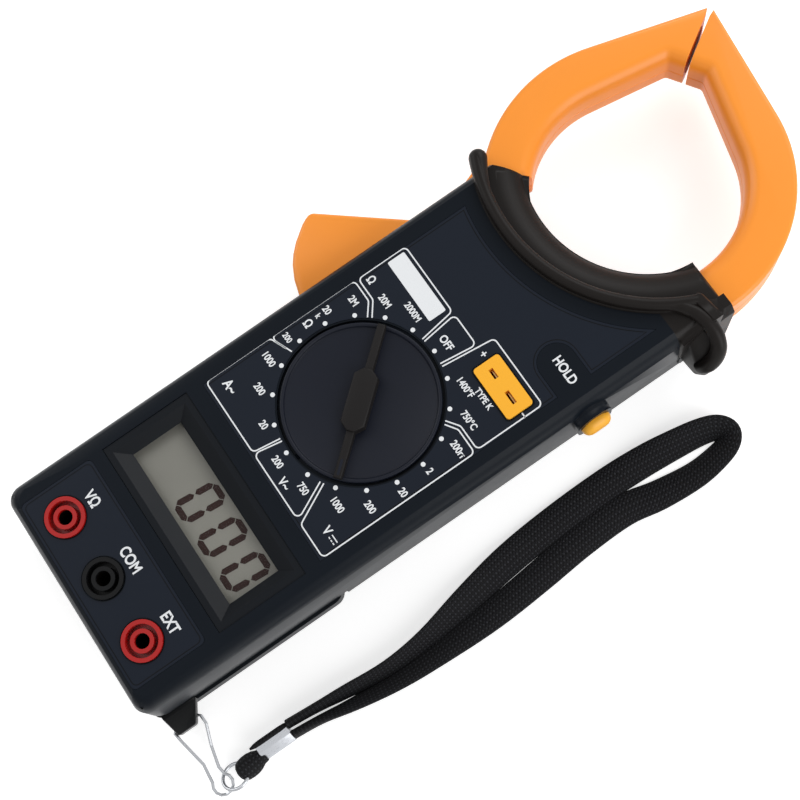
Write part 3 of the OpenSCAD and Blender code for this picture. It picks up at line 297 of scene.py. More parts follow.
case_plastic = plastic("case_plastic", (0.0056, 0.0080, 0.0120), 0.32, bump=0.12, gloss=0.075)
# The rear shell and lid are a lighter grey than the front shell: a painted sheen of the light their side walls catch.
rear_plastic_painted_sheen = plastic("rear_plastic_painted_sheen", (0.0095, 0.0115, 0.0142), 0.42, grain=2600, bump=0.3, gloss=0.07)
shroud_plastic = plastic("shroud_plastic", (0.0085, 0.0068, 0.0060), 0.42, bump=0.15, gloss=0.13)
film_plastic = plastic("label_film", (0.0060, 0.0092, 0.0165), 0.38, grain=6000, bump=0.05, cloud=0.06, gloss=0.14)
knob_plastic = plastic("knob_plastic", (0.0068, 0.0085, 0.0150), 0.42, grain=2600, bump=0.3, cloud=0.06, gloss=0.15)
pointer_plastic = plastic("pointer_plastic", (0.0098, 0.0088, 0.0088), 0.5, grain=2600, bump=0.35, gloss=0.13)
bezel_plastic = plastic("bezel_plastic", (0.0070, 0.0085, 0.0110), 0.34, bump=0.1, gloss=0.09)
jaw_plastic = plastic("jaw_plastic", (1.0, 0.318, 0.030), 0.36, grain=2200, cloud=0.08, bump=0.12, gloss=0.4)
yellow_plastic = plastic("yellow_plastic", (0.98, 0.46, 0.026), 0.38, bump=0.1, gloss=0.4)
red_plastic = plastic("red_plastic", (0.40, 0.006, 0.005), 0.24, bump=0.1, gloss=0.4)
# The lug is near black, darker than the rear shell it is moulded with: painted shade of the pocket it sits in.
lug_plastic_painted_shade = plastic("lug_plastic_painted_shade", (0.0022, 0.0025, 0.0030), 0.22, bump=0.05, gloss=0.07)
black_plastic = plastic("jack_plastic", (0.0050, 0.0052, 0.0058), 0.32, bump=0.1, gloss=0.14)
white_plastic = plastic("carrier_plastic", (0.7, 0.7, 0.66), 0.5)
dark_part = plastic("small_black_parts", (0.012, 0.012, 0.013), 0.45)
board_green = plastic("board_mask", (0.012, 0.11, 0.035), 0.35, grain=900, cloud=0.2)
blue_part = plastic("small_blue_parts", (0.02, 0.06, 0.3), 0.35)
lead_rubber = plastic("lead_insulation", (0.45, 0.015, 0.012), 0.5)
zebra_rubber = plastic("zebra_rubber", (0.6, 0.3, 0.38), 0.6)
print_white = plastic("print_white", (0.82, 0.84, 0.86), 0.5, grain=9000, cloud=0.05, bump=0.03)

# %% [markdown]
# ## Metals
# The springs, screws and wire are plated steel, the sleeves in the jacks are brass and the ferrule is bright
# aluminium. Each is scratched along random fine lines, which a stretched noise gives.

# %% Metals
SCRATCHES, SCRATCH_DEPTH = 900.0, 0.00004


def metal(name, colour, roughness, stretch=(1, 1, 12), bump=0.12):
    """Metal with fine scratches along one direction of the object's space."""
    material, tree, shader = new_material(name)
    mapping = tree.nodes.new("ShaderNodeMapping")
    fill(tree, mapping, {"Vector": object_coords(tree), "Scale": stretch})
    lines = noise(tree, mapping.outputs["Vector"], SCRATCHES, 5.0, 0.6)
    swing = math_node(tree, "SUBTRACT", lines, 0.5)
    fill(tree, shader, {
        "Metallic": 1.0, "Base Color": (*colour, 1), "Roughness": scaled(tree, swing, 0.25, roughness, clamp=True),
        "Normal": bumped(tree, lines, bump, SCRATCH_DEPTH)})
    return material


steel = metal("plated_steel", (0.62, 0.62, 0.64), 0.28)
wire_steel = metal("wire_steel", (0.42, 0.43, 0.45), 0.26)
aluminium = metal("bright_aluminium", (0.50, 0.515, 0.545), 0.30, stretch=(6, 1, 6), bump=0.3)
brass = metal("brass", (0.72, 0.50, 0.20), 0.3)
# The jack sleeves' brass is nearly black: painted shade deep inside the jack holes.
socket_brass = metal("brass_painted_hole_shade", (0.030, 0.024, 0.018), 0.5)
copper = metal("copper", (0.72, 0.34, 0.18), 0.35, stretch=(1, 1, 20))
# The jaw cores are coloured dark red: a painted reflection of the orange jaws, with painted shade in the cleft between
# the tips.
core_steel = metal("laminations_painted_orange_reflection", (0.34, 0.055, 0.012), 0.5, stretch=(0.2, 0.2, 3))
print("finishes:", len(bpy.data.materials))

# %% [markdown]
# ## Dress the CAD parts
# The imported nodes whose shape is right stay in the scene, and only their material slots are filled. What is not
# listed is plated steel, or is replaced by a piece further on.

# %% Dress the CAD parts
def dress(name, finish):
    nodes[name].data.materials.clear()
    nodes[name].data.materials.append(finish)


DRESS = [
    (film_plastic, "dial_label jack_label"), (bezel_plastic, "lcd_bezel"), (white_plastic, "lcd_carrier knob_carrier"),
    (zebra_rubber, "zebra_strips"), (board_green, "main_board"), (blue_part, "board_capacitors trimmers"),
    (dark_part, "board_chips buzzer hold_switch battery battery_snap"), (lead_rubber, "battery_leads"),
    (copper, "current_shunt fixed_coil moving_coil"), (core_steel, "fixed_core moving_core"),
    (red_plastic, "jack_volt_ohm jack_extra"), (black_plastic, "jack_common"), (socket_brass, "jack_sleeves"),
    (yellow_plastic, "thermocouple_socket"), (brass, "thermocouple_contacts knob_wipers"),
    (wire_steel, "wire_ring split_ring")]
finishes = {name: finish for finish, names in DRESS for name in names.split()}
for name in nodes:
    dress(name, finishes.get(name, steel))
print("dressed", len(nodes), "nodes")

# %% [markdown]
# ## Outlines and lofts
# The moulded parts come from flat outlines. One helper rounds the corners of a polygon with arcs, one moves an
# outline inwards, and one joins a stack of outlines, each a little smaller than the one below, into a solid. A
# stack gives a large even fillet where the bevel operator would collide with itself at a sharp tip.

# %% Outlines and lofts
def rounded(points, radii, step=15):
    """Replace each corner of a closed polygon with an arc; one radius for all, or a list."""
    count = len(points)
    radii = radii if isinstance(radii, (list, tuple)) else [radii] * count
    out = []
    for i in range(count):
        p = Vector(points[i])
        before, after = Vector(points[i - 1]) - p, Vector(points[(i + 1) % count]) - p
        half = before.angle(after) / 2
        reach = min(radii[i] / math.tan(half), 0.48 * before.length, 0.48 * after.length)
        radius = reach * math.tan(half)
        if radius < 0.02:
            out.append(p)
            continue
        centre = p + (before.normalized() + after.normalized()).normalized() * (radius / math.sin(half))
        start, end = p + before.normalized() * reach - centre, p + after.normalized() * reach - centre
        sweep_angle = start.angle_signed(end)
        pieces = max(1, round(abs(math.degrees(sweep_angle)) / step))
        for k in range(pieces + 1):
            turned = start.copy()
            turned.rotate(Matrix.Rotation(-sweep_angle * k / pieces, 2))
            out.append(centre + turned)
    return out


def loft(levels):
    """A closed solid through levels of (outline, z) in millimetres; all outlines have as many points."""
    bm = bmesh.new()
    rings = [[bm.verts.new(vec(p[0], p[1], z)) for p in outline] for outline, z in levels]
    for low, high in zip(rings, rings[1:]):
        for i in range(len(low)):
            j = (i + 1) % len(low)
            bm.faces.new((low[i], low[j], high[j], high[i]))
    bm.faces.new(list(reversed(rings[0])))
    bm.faces.new(rings[-1])
    bmesh.ops.recalc_face_normals(bm, faces=bm.faces)
    return bm


def fillet_levels(outline_at, z0, z1, low=0.25, high=3.6, steps=6):
    """Levels of a solid from z0 to z1 whose lower and upper edges are rounded. outline_at(inset) is its outline."""
    turns = [math.radians(90 * k / steps) for k in range(steps + 1)]
    return ([(outline_at(low * (1 - math.sin(a))), z0 + low * (1 - math.cos(a))) for a in turns]
            + [(outline_at(high * (1 - math.cos(a))), z1 - high * (1 - math.sin(a))) for a in turns])


def inset_outline(outline, inset):
    """Move each point of a closed outline inwards along the mean of its two sides' normals."""
    out = []
    for i, point in enumerate(outline):
        p = Vector(point)
        a, b = p - Vector(outline[i - 1]), Vector(outline[(i + 1) % len(outline)]) - p
        normal = (a.normalized() + b.normalized()).normalized()
        out.append(p + Vector((normal.y, -normal.x)) * inset)
    return out


# %% [markdown]
# ## The jaws
# Each jaw is two thick orange shells that meet at half height, with a soft fillet of nearly 4 mm on every outer
# edge. The outline is a ring that runs out to a tip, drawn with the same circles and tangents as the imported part,
# so an inset outline is only the same formula with other radii.

# %% The jaws
RING_X, RING_Y = -8.0, 93.0
BORE_R, RING_W = 28.0, 13.3
TIP_REACH, TIP_HALF = 54.6, 0.9
JAW_LEAN, LOW_SPLIT = 122.7, 266.0
JAW_Z, JAW_MID, JAW_TOP = 10.5, 18.5, 26.5
CLEFT = 1.15
FLAT_R, FLAT_HALF, CORNER_R = 36.0, 5.2, 1.8
SOFT, TIGHT = 4.0, 1.3
TIP_PULL, SEAM_STEP, RELIEF, RELIEF_FROM = 1.4, 0.25, 1.4, 106


def arc(radius, start, end, steps, centre=(0, 0)):
    """Points of an arc between two directions."""
    angles = [math.radians(start + (end - start) * k / steps) for k in range(steps + 1)]
    return [(centre[0] + radius * math.cos(a), centre[1] + radius * math.sin(a)) for a in angles]


def jaw_outline(side, out_inset, in_inset, relief_from=None):
    """Outline of one jaw: side is 1 for the moving jaw and -1 for the fixed one.
    Past the angle relief_from, its bore is wider and clears the shroud."""
    outer, bore = BORE_R + RING_W - out_inset, BORE_R + in_inset
    reach = TIP_REACH - TIP_PULL * out_inset
    corner = Vector((FLAT_R + in_inset, FLAT_HALF + 0.45 * in_inset))
    outer_touch = math.degrees(math.acos(outer / reach))
    bore_touch = math.degrees(math.atan2(corner.y, corner.x) + math.acos(bore / corner.length))
    span = LOW_SPLIT - JAW_LEAN if side > 0 else 360 - (LOW_SPLIT - JAW_LEAN)
    gap = CLEFT / 2

    def at_split(radius):
        return span - math.degrees(math.asin(gap / radius))

    # The flat end meets the bore's tangent in a small round corner
    tangent = Vector(arc(bore, bore_touch, bore_touch, 1)[0]) - corner
    soft = CORNER_R + 0.5 * in_inset
    half = Vector((0, -1)).angle(tangent) / 2
    away = soft / math.tan(half)
    middle = corner + (Vector((0, -1)) + tangent.normalized()).normalized() * (soft / math.sin(half))
    first = corner + Vector((0, -1)) * min(away, corner.y - gap - 0.05) - middle
    last = corner + tangent.normalized() * away - middle
    start = math.degrees(math.atan2(first.y, first.x))
    turn = (math.degrees(math.atan2(last.y, last.x)) - start + 180) % 360 - 180

    points = arc(outer, at_split(outer), outer_touch, 56)
    points += [(reach - 1, TIP_HALF), (reach - 2.6, gap), (corner.x, gap)]
    points += arc(soft, start, start + turn, 6, middle)
    if relief_from:
        points += arc(bore, bore_touch, relief_from, 24)
        points += arc(bore + RELIEF * (1 - in_inset / SOFT), relief_from + 1, at_split(bore + RELIEF), 24)
    else:
        points += arc(bore, bore_touch, at_split(bore), 49)
    turn = Matrix.Rotation(math.radians(JAW_LEAN), 2)
    out = []
    for x, y in points:
        p = turn @ Vector((x, side * y))
        out.append((p.x + RING_X, p.y + RING_Y))
    return out if side < 0 else list(reversed(out))


def jaw_levels(side, relief_from):
    """Levels of a jaw's front shell: a wide soft fillet round the opening and a tight one outside."""
    heights = {JAW_MID, JAW_MID + SEAM_STEP}
    heights |= {JAW_TOP - r + r * math.sin(math.radians(a)) for r in (SOFT, TIGHT) for a in range(0, 91, 15)}
    levels = []
    for z in sorted(heights):
        insets = []
        for r in (TIGHT, SOFT):
            rise = min(1.0, max(0.0, (z - JAW_TOP + r) / r))
            insets.append(r * (1 - math.sqrt(1 - rise * rise)) + (SEAM_STEP if z == JAW_MID else 0))
        levels.append((jaw_outline(side, insets[0], insets[1], relief_from), z))
    return levels


for label, side, body, relief_from in (("moving", 1, "jaw", RELIEF_FROM), ("fixed", -1, "root", None)):
    levels = jaw_levels(side, relief_from)
    front = add_piece(f"{label}_jaw_shell_front", loft(levels), body, jaw_plastic, smooth=38)
    levels = [(outline, 2 * JAW_MID - z) for outline, z in reversed(levels)]
    rear = add_piece(f"{label}_jaw_shell_rear", loft(levels), body, jaw_plastic, smooth=38)
    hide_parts(f"{label}_jaw_front")
    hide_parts(f"{label}_jaw_rear")
    print(label, "jaw:", len(front.data.vertices) + len(rear.data.vertices), "points")

# %% [markdown]
# ## The trigger
# The moving jaw carries on past its pivot as a flat lever. Its end stands out of the left wall as the trigger, a
# plain wedge with soft edges and a small round tip.

# %% The trigger
PIVOT, LEVER_TOP, LEVER_SOFT = (-28.0, 50.0), 22.5, 1.1
LEVER = [(-0.8, 10), (6.5, 3), (5.5, -4), (2.8, -14), (-2, -26), (-4.8, -37), (-5.6, -47), (-8, -47.4),
         (-15.4, -45.2), (-21, -41), (-25.6, -34.8), (-26.6, -31.9), (-7.4, -9.2), (-7, 2), (-11, 13)]
LEVER_RADII = [0, 4, 3, 8, 12, 12, 2, 3, 12, 12, 6, 2.2, 3, 4, 0]


def lever_outline(inset):
    points = [(x + PIVOT[0], y + PIVOT[1]) for x, y in LEVER]
    return inset_outline(rounded(points, LEVER_RADII), inset)


lever_levels = fillet_levels(lever_outline, JAW_Z, LEVER_TOP, low=LEVER_SOFT, high=LEVER_SOFT, steps=3)
trigger = add_piece("trigger_lever", loft(lever_levels), "jaw", jaw_plastic)
print("trigger reaches", round(min(v.co.x for v in trigger.data.vertices) / MM, 1), "mm to the left")

# %% [markdown]
# ## Print on the face
# The dial's positions, numbers and frames are screen-printed in white on the dark label. Text becomes a thin mesh
# and lines become flat ribbons, and both lie a few hundredths of a millimetre proud of the label, as ink does.

# %% Print on the face
LABEL_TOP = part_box("dial_label")[1][2] / MM
INK, CAPITAL, DOT_R = 0.02, 0.70, 0.62


def ribbon(bm, points, width, z, closed=False):
    """A flat line of even width along points."""
    points = [Vector(p) for p in points]
    count = len(points)
    pairs = []
    for i, p in enumerate(points):
        ahead = points[(i + 1) % count] - p if closed or i < count - 1 else p - points[i - 1]
        behind = p - points[i - 1] if closed or i > 0 else ahead
        normal = ahead.normalized() + behind.normalized()
        normal = Vector((-normal.y, normal.x)).normalized()
        spread = width / 2 / max(0.5, normal.dot(Vector((-ahead.y, ahead.x)).normalized()))
        pairs.append([bm.verts.new(vec(*(p + s * normal * spread), z)) for s in (1, -1)])
    for i in range(count if closed else count - 1):
        a, b = pairs[i], pairs[(i + 1) % count]
        bm.faces.new((a[0], a[1], b[1], b[0]))


def write(bm, text, x, y, height, z, squash=0.82, boldness=0.026):
    """Add a word, centred on x and y, with capitals of that height."""
    curve = bpy.data.curves.new("word", "FONT")
    curve.body, curve.align_x, curve.align_y = text, "CENTER", "CENTER"
    curve.size, curve.offset = 1.0, boldness
    word = put("word", curve)
    mesh = bpy.data.meshes.new_from_object(word.evaluated_get(bpy.context.evaluated_depsgraph_get()))
    tall = height / CAPITAL
    mesh.transform(Matrix.Translation(vec(x, y, z)) @ Matrix.Diagonal((tall * squash * MM, tall * MM, MM, 1)))
    bm.from_mesh(mesh)
    bpy.data.meshes.remove(mesh)
    bpy.data.objects.remove(word)
    bpy.data.curves.remove(curve)


ink = bmesh.new()
top = LABEL_TOP + INK
DOTS, DOT_RING = 18, 22.95
for i in range(DOTS):
    angle = math.radians(90 + i * 360 / DOTS)
    dot = bmesh.ops.create_circle(ink, cap_ends=True, segments=20, radius=DOT_R * MM)["verts"]
    bmesh.ops.translate(ink, verts=dot, vec=vec(DOT_RING * math.cos(angle), DOT_RING * math.sin(angle), top))

# Word, place, height of its capitals
DIAL_WORDS = [
    ("OFF", 0, 26.6, 2.1), ("1400°F", 12.4, 23.9, 1.8), ("750°C", 20.0, 19.8, 1.8), ("200m", 24.6, 13.3, 1.9),
    ("2", 25.0, 4.3, 1.9), ("20", 25.6, -4.3, 1.9), ("200", 23.9, -13.2, 1.9), ("1000", 18.6, -19.7, 1.9),
    ("750", 10.2, -24.6, 1.9), ("200", 0.7, -26.2, 1.9), ("20", -9.5, -23.9, 1.9), ("200", -18.0, -19.6, 1.9),
    ("1000", -23.3, -13.3, 1.9), ("200", -25.2, -6.2, 1.6), ("Ω", -25.2, 0.2, 2.3), ("k", -25.4, 3.6, 1.6),
    ("20", -25.3, 6.3, 1.9), ("2M", -23.3, 13.3, 1.9), ("20M", -18.4, 19.9, 1.9), ("2000M", -11.8, 24.2, 1.8),
    ("A~", -23.0, -25.6, 2.6), ("V~", 6.4, -27.9, 2.3), ("V", 22.6, -25.4, 2.4), ("Ω", -25.3, 20.2, 2.2),
    ("+", 8.0, 32.6, 2.2), ("–", 26.9, 32.0, 2.2), ("TYPE K", 17.6, 26.0, 1.7), ("HOLD", 23.4, 47.0, 2.5)]
CASE_FACE = 33.5
for word, x, y, height in DIAL_WORDS:
    write(ink, word, x, y, height, CASE_FACE + INK if word == "HOLD" else top)

# Direct-current sign: a bar over three dashes
LINE, THIN_LINE, LINE_CORNER = 0.36, 0.3, 1.3
ribbon(ink, [(24.2, -24.9), (26.6, -24.9)], THIN_LINE, top)
for x in (24.2, 25.1, 26.0):
    ribbon(ink, [(x, -25.9), (x + 0.6, -25.9)], THIN_LINE, top)

FRAMES = [
    # amps
    [(-23.0, -8.0), (-27.7, -10.0), (-27.7, -30.0), (-5.1, -30.0), (-4.0, -22.2)],
    # volts, alternating
    [(-3.2, -22.2), (-4.6, -30.0), (16.2, -30.0), (11.2, -19.9)],
    # volts, direct
    [(12.1, -19.4), (17.5, -30.0), (27.7, -30.0), (27.7, 16.3), (20.4, 16.3), (17.3, 14.2)],
    # temperature
    [(4.5, 22.3), (6.2, 37.3), (27.4, 37.3), (27.4, 17.3), (20.0, 17.3), (16.6, 14.9)],
    # off
    [(-3.6, 22.3), (-4.9, 32.6), (4.9, 32.6), (3.6, 22.3)],
    # megohms
    [(-16.7, 14.8), (-20.6, 17.7), (-27.5, 17.7), (-27.5, 32.6), (-6.0, 32.6), (-4.4, 22.2)],
    # ohms
    [(-17.5, 13.9), (-21.0, 16.6), (-27.7, 16.6), (-27.7, -8.9), (-26.5, -9.3), (-21.4, -7.2)]]
for line in FRAMES:
    ribbon(ink, rounded(line, [0] + [LINE_CORNER] * (len(line) - 2) + [0]), LINE, top)

# A filled panel with nothing in it
panel = rounded([(-26.6, 26.3), (-7.2, 26.3), (-7.2, 31.5), (-26.6, 31.5)], 0.4)
ink.faces.new([ink.verts.new(vec(p.x, p.y, top)) for p in panel])
add_piece("dial_print", ink, "root", print_white, smooth=30)

jack_ink = bmesh.new()
for word, x, y, height in (("VΩ", -19.0, -70.9, 2.9), ("COM", 0.0, -70.9, 2.9), ("EXT", 19.2, -70.9, 2.9)):
    write(jack_ink, word, x, y, height, top, squash=0.78)
add_piece("jack_print", jack_ink, "root", print_white, smooth=30)
print("printed", len(DIAL_WORDS), "words and", DOTS, "dots")

# %% [markdown]
# ## The display
# A reflective liquid crystal shows dark brown bars on grey-green glass. Its three figures are six bars each,
# cut at 45 degrees where they meet, and lean a little.

# %% The display
GLASS_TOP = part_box("lcd_glass")[1][2] / MM


def crystal_glass():
    """Grey reflective glass, a shade uneven."""
    material, tree, shader = new_material("crystal_glass")
    coords = object_coords(tree)
    ramp = tree.nodes.new("ShaderNodeValToRGB")
    low, high = ramp.color_ramp.elements
    low.position, low.color = 0.3, (0.285, 0.280, 0.245, 1)
    high.position, high.color = 0.7, (0.335, 0.330, 0.290, 1)
    fill(tree, ramp, {"Fac": noise(tree, coords, 30.0, 2.0)})
    grain = noise(tree, coords, 5000.0, 1.0)
    fill(tree, shader, {"Base Color": ramp.outputs["Color"], "Roughness": scaled(tree, grain, 0.1, 0.3)})
    return material


def clear_window():
    """Clear acrylic: mostly see-through, with a thin gloss."""
    material, tree, shader = new_material("clear_window")
    smear = noise(tree, object_coords(tree), 80.0, 3.0)
    fill(tree, shader, {"Base Color": (0.02, 0.02, 0.02, 1), "IOR": 1.3, "Alpha": 0.10,
                        "Roughness": scaled(tree, smear, 0.06, 0.08)})
    return material


segment_ink = plastic("crystal_segments", (0.030, 0.012, 0.010), 0.45, grain=6000, cloud=0.05, bump=0.02, gloss=0.2)
dress("lcd_glass", crystal_glass())
dress("lcd_window", clear_window())

segments = bmesh.new()
DIGIT_H, DIGIT_W, BAR, LEAN = 12.9, 7.0, 1.75, math.tan(math.radians(5))
DIGIT_PLACES, DIGIT_Y, SLIT = (-3.4, 7.5, 18.3), -48.8, 0.14


def segment(bm, a, b, centre):
    """One bar of a figure from a to b, with both ends cut at 45 degrees."""
    a, b = Vector(a), Vector(b)
    along = (b - a).normalized()
    across = Vector((-along.y, along.x))
    mitre, half = along * (SLIT + BAR / 2), across * (BAR / 2)
    shape = [a + along * SLIT, a + mitre + half, b - mitre + half, b - along * SLIT, b - mitre - half, a + mitre - half]
    verts = [bm.verts.new(vec(p.x + LEAN * p.y + centre[0], p.y + centre[1], GLASS_TOP + INK)) for p in shape]
    face = bm.faces.new(verts)
    if (verts[1].co - verts[0].co).cross(verts[2].co - verts[1].co).z < 0:
        face.normal_flip()


w, h = DIGIT_W / 2 - BAR / 2, DIGIT_H / 2 - BAR / 2
ZERO = [(-w, h), (w, h), (w, 0), (w, -h), (-w, -h), (-w, 0)]
for centre_x in DIGIT_PLACES:
    for a, b in zip(ZERO, ZERO[1:] + ZERO[:1]):
        segment(segments, a, b, (centre_x, DIGIT_Y))
figures = add_piece("display_figures", segments, "root", segment_ink, smooth=30)
print("display figures:", len(figures.data.polygons), "bars")

# %% [markdown]
# ## The braid
# The strap is woven from fine black yarn. Its weave follows the strap, so it is drawn in the strap's own UVs,
# which are metres along it and round it: two sets of slanting waves cross and make the small lozenges of a
# braid, and every second lozenge catches the light as a pale fleck.

# %% The braid
def make_braid(name, colour, fleck, pitch=0.0011):
    """Crossing waves along and round a swept tube."""
    material, tree, shader = new_material(name)
    uv = tree.nodes.new("ShaderNodeUVMap")
    uv.uv_map = "UVMap"
    split = fill(tree, tree.nodes.new("ShaderNodeSeparateXYZ"), {0: uv.outputs["UV"]})
    u = math_node(tree, "MULTIPLY", split.outputs[0], math.pi / pitch)
    v = math_node(tree, "MULTIPLY", split.outputs[1], math.pi / (pitch * 0.72))
    waves = [math_node(tree, "SINE", math_node(tree, operation, u, v), 0.0) for operation in ("ADD", "SUBTRACT")]
    lozenge = math_node(tree, "MULTIPLY", *waves)
    fuzz = noise(tree, object_coords(tree), 2500.0, 3.0)
    shine = math_node(tree, "MULTIPLY", math_node(tree, "GREATER_THAN", lozenge, 0.55), fuzz)
    mix = tree.nodes.new("ShaderNodeMix")
    mix.data_type = "RGBA"
    fill(tree, mix, {"A": (*colour, 1), "B": (*fleck, 1), "Factor": shine})
    height = math_node(tree, "ADD", math_node(tree, "ABSOLUTE", lozenge, 0.0), math_node(tree, "MULTIPLY", fuzz, 0.5))
    fill(tree, shader, {
        "Base Color": mix.outputs["Result"], "Roughness": scaled(tree, fuzz, 0.25, 0.6), "Specular IOR Level": 0.2,
        "Normal": bumped(tree, height, 0.9, 0.00025)})
    return material


braid = make_braid("black_braid", (0.0035, 0.0035, 0.0045), (0.045, 0.048, 0.055))
strap.data.materials.append(braid)
print("braid on", strap.name)

# %% [markdown]
# ## The knob
# The range knob is a wide thin cup with a raised rim, and a pointer bar across it that fingers turn. The disc is
# spun from its profile, and the bar is two extruded outlines with bevelled edges: narrow arms out to the rim, and
# a wide grip with slanting shoulders in the middle.

# %% The knob
knob_mesh = bmesh.new()
# Radius and height, from the middle of the underside round to the middle of the floor
PROFILE = [(0, 31.65), (20.6, 31.65), (20.95, 31.9), (20.95, 33.5), (20.8, 33.7), (20.5, 33.75), (20.1, 33.68),
           (19.9, 33.45), (19.8, 33.05), (19.6, 32.95), (0, 32.95)]
verts = [knob_mesh.verts.new(vec(r, 0, z)) for r, z in PROFILE]
edges = [knob_mesh.edges.new(pair) for pair in zip(verts, verts[1:])]
bmesh.ops.spin(knob_mesh, geom=verts + edges, cent=(0, 0, 0), axis=(0, 0, 1), angle=2 * math.pi, steps=96,
               use_merge=True)
bmesh.ops.remove_doubles(knob_mesh, verts=knob_mesh.verts, dist=1e-6)
bmesh.ops.recalc_face_normals(knob_mesh, faces=knob_mesh.faces)
disc = add_piece("knob_disc", knob_mesh, "dial", knob_plastic, smooth=50)


def extruded(outline, z0, z1):
    """A prism over an outline."""
    return loft([(outline, z0), (outline, z1)])


def soften(bm, width, segments=3, above=None, limit=30):
    """Bevel the sharp edges, all of them or those above a height in millimetres."""
    edges = [e for e in bm.edges if len(e.link_faces) == 2 and math.degrees(e.calc_face_angle(0)) > limit
             and (above is None or min(v.co.z for v in e.verts) / MM > above)]
    bmesh.ops.bevel(bm, geom=edges, offset=width * MM, segments=segments, profile=0.5, affect="EDGES", material=-1,
                    clamp_overlap=True)
    bmesh.ops.recalc_face_normals(bm, faces=bm.faces)


NARROW, WIDE, GRIP, SHOULDER, REACH, POINTER_AT = 1.1, 3.2, 8.4, 1.9, 20.7, 130
BAR_FOOT, ARM_TOP, GRIP_TOP = 32.5, 35.5, 36.4
arms = extruded([(-REACH, -NARROW), (REACH, -NARROW), (REACH, NARROW), (-REACH, NARROW)], BAR_FOOT, ARM_TOP)
soften(arms, 0.35, above=ARM_TOP - 0.5)
wide_at = GRIP - SHOULDER
grip = extruded([(-GRIP, -NARROW), (-wide_at, -WIDE), (wide_at, -WIDE), (GRIP, -NARROW),
                 (GRIP, NARROW), (wide_at, WIDE), (-wide_at, WIDE), (-GRIP, NARROW)], BAR_FOOT, GRIP_TOP)
soften(grip, 0.45, above=GRIP_TOP - 0.4)
mark = extruded([(-19.9, -0.35), (-15.8, -0.35), (-15.8, 0.35), (-19.9, 0.35)], ARM_TOP - 0.05, ARM_TOP + 0.03)
for name, bm, finish in (("pointer_arms", arms, pointer_plastic), ("pointer_grip", grip, pointer_plastic),
                         ("pointer_line", mark, knob_plastic)):
    bmesh.ops.rotate(bm, verts=bm.verts, cent=(0, 0, 0), matrix=Matrix.Rotation(math.radians(POINTER_AT), 3, "Z"))
    piece = add_piece(name, bm, "dial", finish, smooth=40)
    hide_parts("knob")
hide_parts("knob")
print("knob disc", len(disc.data.polygons), "faces")

# %% [markdown]
# ## The case shells
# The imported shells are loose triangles, so their stepped round edges show as facets. A merged copy keeps the
# shape: its doubles are welded, its flat triangles are dissolved into whole faces, and weighted normals make the
# stepped edges look round. The front shell was packed in parts, and its copy is one moulding again.

# %% The case shells
SEAM_Y, WALL_X, LOBE_LOW = -64.5, 35.2, 74.0


def merged_copy(names, seam=None):
    """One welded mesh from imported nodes, without the faces on a seam plane across y."""
    bm = bmesh.new()
    for name in names:
        bm.from_mesh(nodes[name].data)
    if seam is not None:
        hidden = [f for f in bm.faces if all(abs(v.co.y / MM - seam) < 0.005 for v in f.verts)]
        bmesh.ops.delete(bm, geom=hidden, context="FACES")
    bmesh.ops.remove_doubles(bm, verts=bm.verts, dist=0.003 * MM)
    bmesh.ops.dissolve_limit(bm, angle_limit=math.radians(0.4), verts=bm.verts, edges=bm.edges)
    print(names[0], "copy:", len(bm.faces), "faces,", sum(e.is_boundary for e in bm.edges), "open edges")
    return bm


def cut_away(bm, wall_x, from_y):
    """Cut a mesh at x, drop what is to the right of the cut and past a y, and close the hole."""
    place = vec(wall_x, 0)
    bmesh.ops.bisect_plane(bm, geom=bm.verts[:] + bm.edges[:] + bm.faces[:], plane_co=place, plane_no=(1, 0, 0))
    centres = [(f, f.calc_center_median()) for f in bm.faces]
    past = [f for f, c in centres if c.x - place.x > 1e-7 and c.y / MM > from_y]
    bmesh.ops.delete(bm, geom=past, context="FACES")
    rim = [e for e in bm.edges if e.is_boundary and all(abs(v.co.x - place.x) < 1e-6 for v in e.verts)]
    bmesh.ops.holes_fill(bm, edges=rim, sides=0)
    print("cut away", len(past), "faces,", sum(e.is_boundary for e in bm.edges), "open edges left")


def shell_piece(name, copied, material, smooth=39, seam=None, trimmed=False):
    """A merged copy with even normals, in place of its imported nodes."""
    bm = merged_copy(copied, seam)
    if trimmed:
        cut_away(bm, WALL_X, LOBE_LOW)
    piece = add_piece(name, bm, "root", material, smooth=smooth)
    piece.modifiers.new("even_normals", "WEIGHTED_NORMAL").keep_sharp = True
    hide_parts(*copied)


shell_piece("front_shell", ("front_case", "jack_end"), case_plastic, seam=SEAM_Y)
shell_piece("rear_shell", ("rear_case",), rear_plastic_painted_sheen, smooth=12, trimmed=True)
shell_piece("battery_lid", ("battery_cover",), rear_plastic_painted_sheen, smooth=12)

# %% [markdown]
# ## The hand barrier
# A raised rib keeps the hand away from the conductor. It is part of the collar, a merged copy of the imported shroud
# whose plain right end is cut off. Three soft shapes lie over it: a finger at the left end, a roll that bends
# over the right shoulder, both swept tubes, and a lobe under the roll, a convex hull with rounded edges.

# %% The hand barrier
BARRIER_X, BARRIER_Y, BARRIER_R = -15.0, 103.5, 47.4


def domed(stations, ends=(0, -1), steps=5):
    """Close the ends of a round tube with caps; its stations are (x, y, z, radius) in millimetres."""
    out = list(stations)
    for end in ends:
        a, radius = Vector(out[end][:3]), out[end][3]
        away = (a - Vector(out[-2 if end else 1][:3])).normalized()
        caps = []
        for k in range(1, steps + 1):
            t = math.radians(90 * k / steps)
            caps.append((*(a + away * radius * math.sin(t)), max(0.03, radius * math.cos(t))))
        out = out + caps if end else caps[::-1] + out
    return out


def tube(stations, name):
    """A round swept tube."""
    return sweep([(Vector(s[:3]), 0, s[3], s[3]) for s in stations], 20, name)[0]


shell_piece("jaw_collar", ("jaw_shroud",), shroud_plastic, trimmed=True)

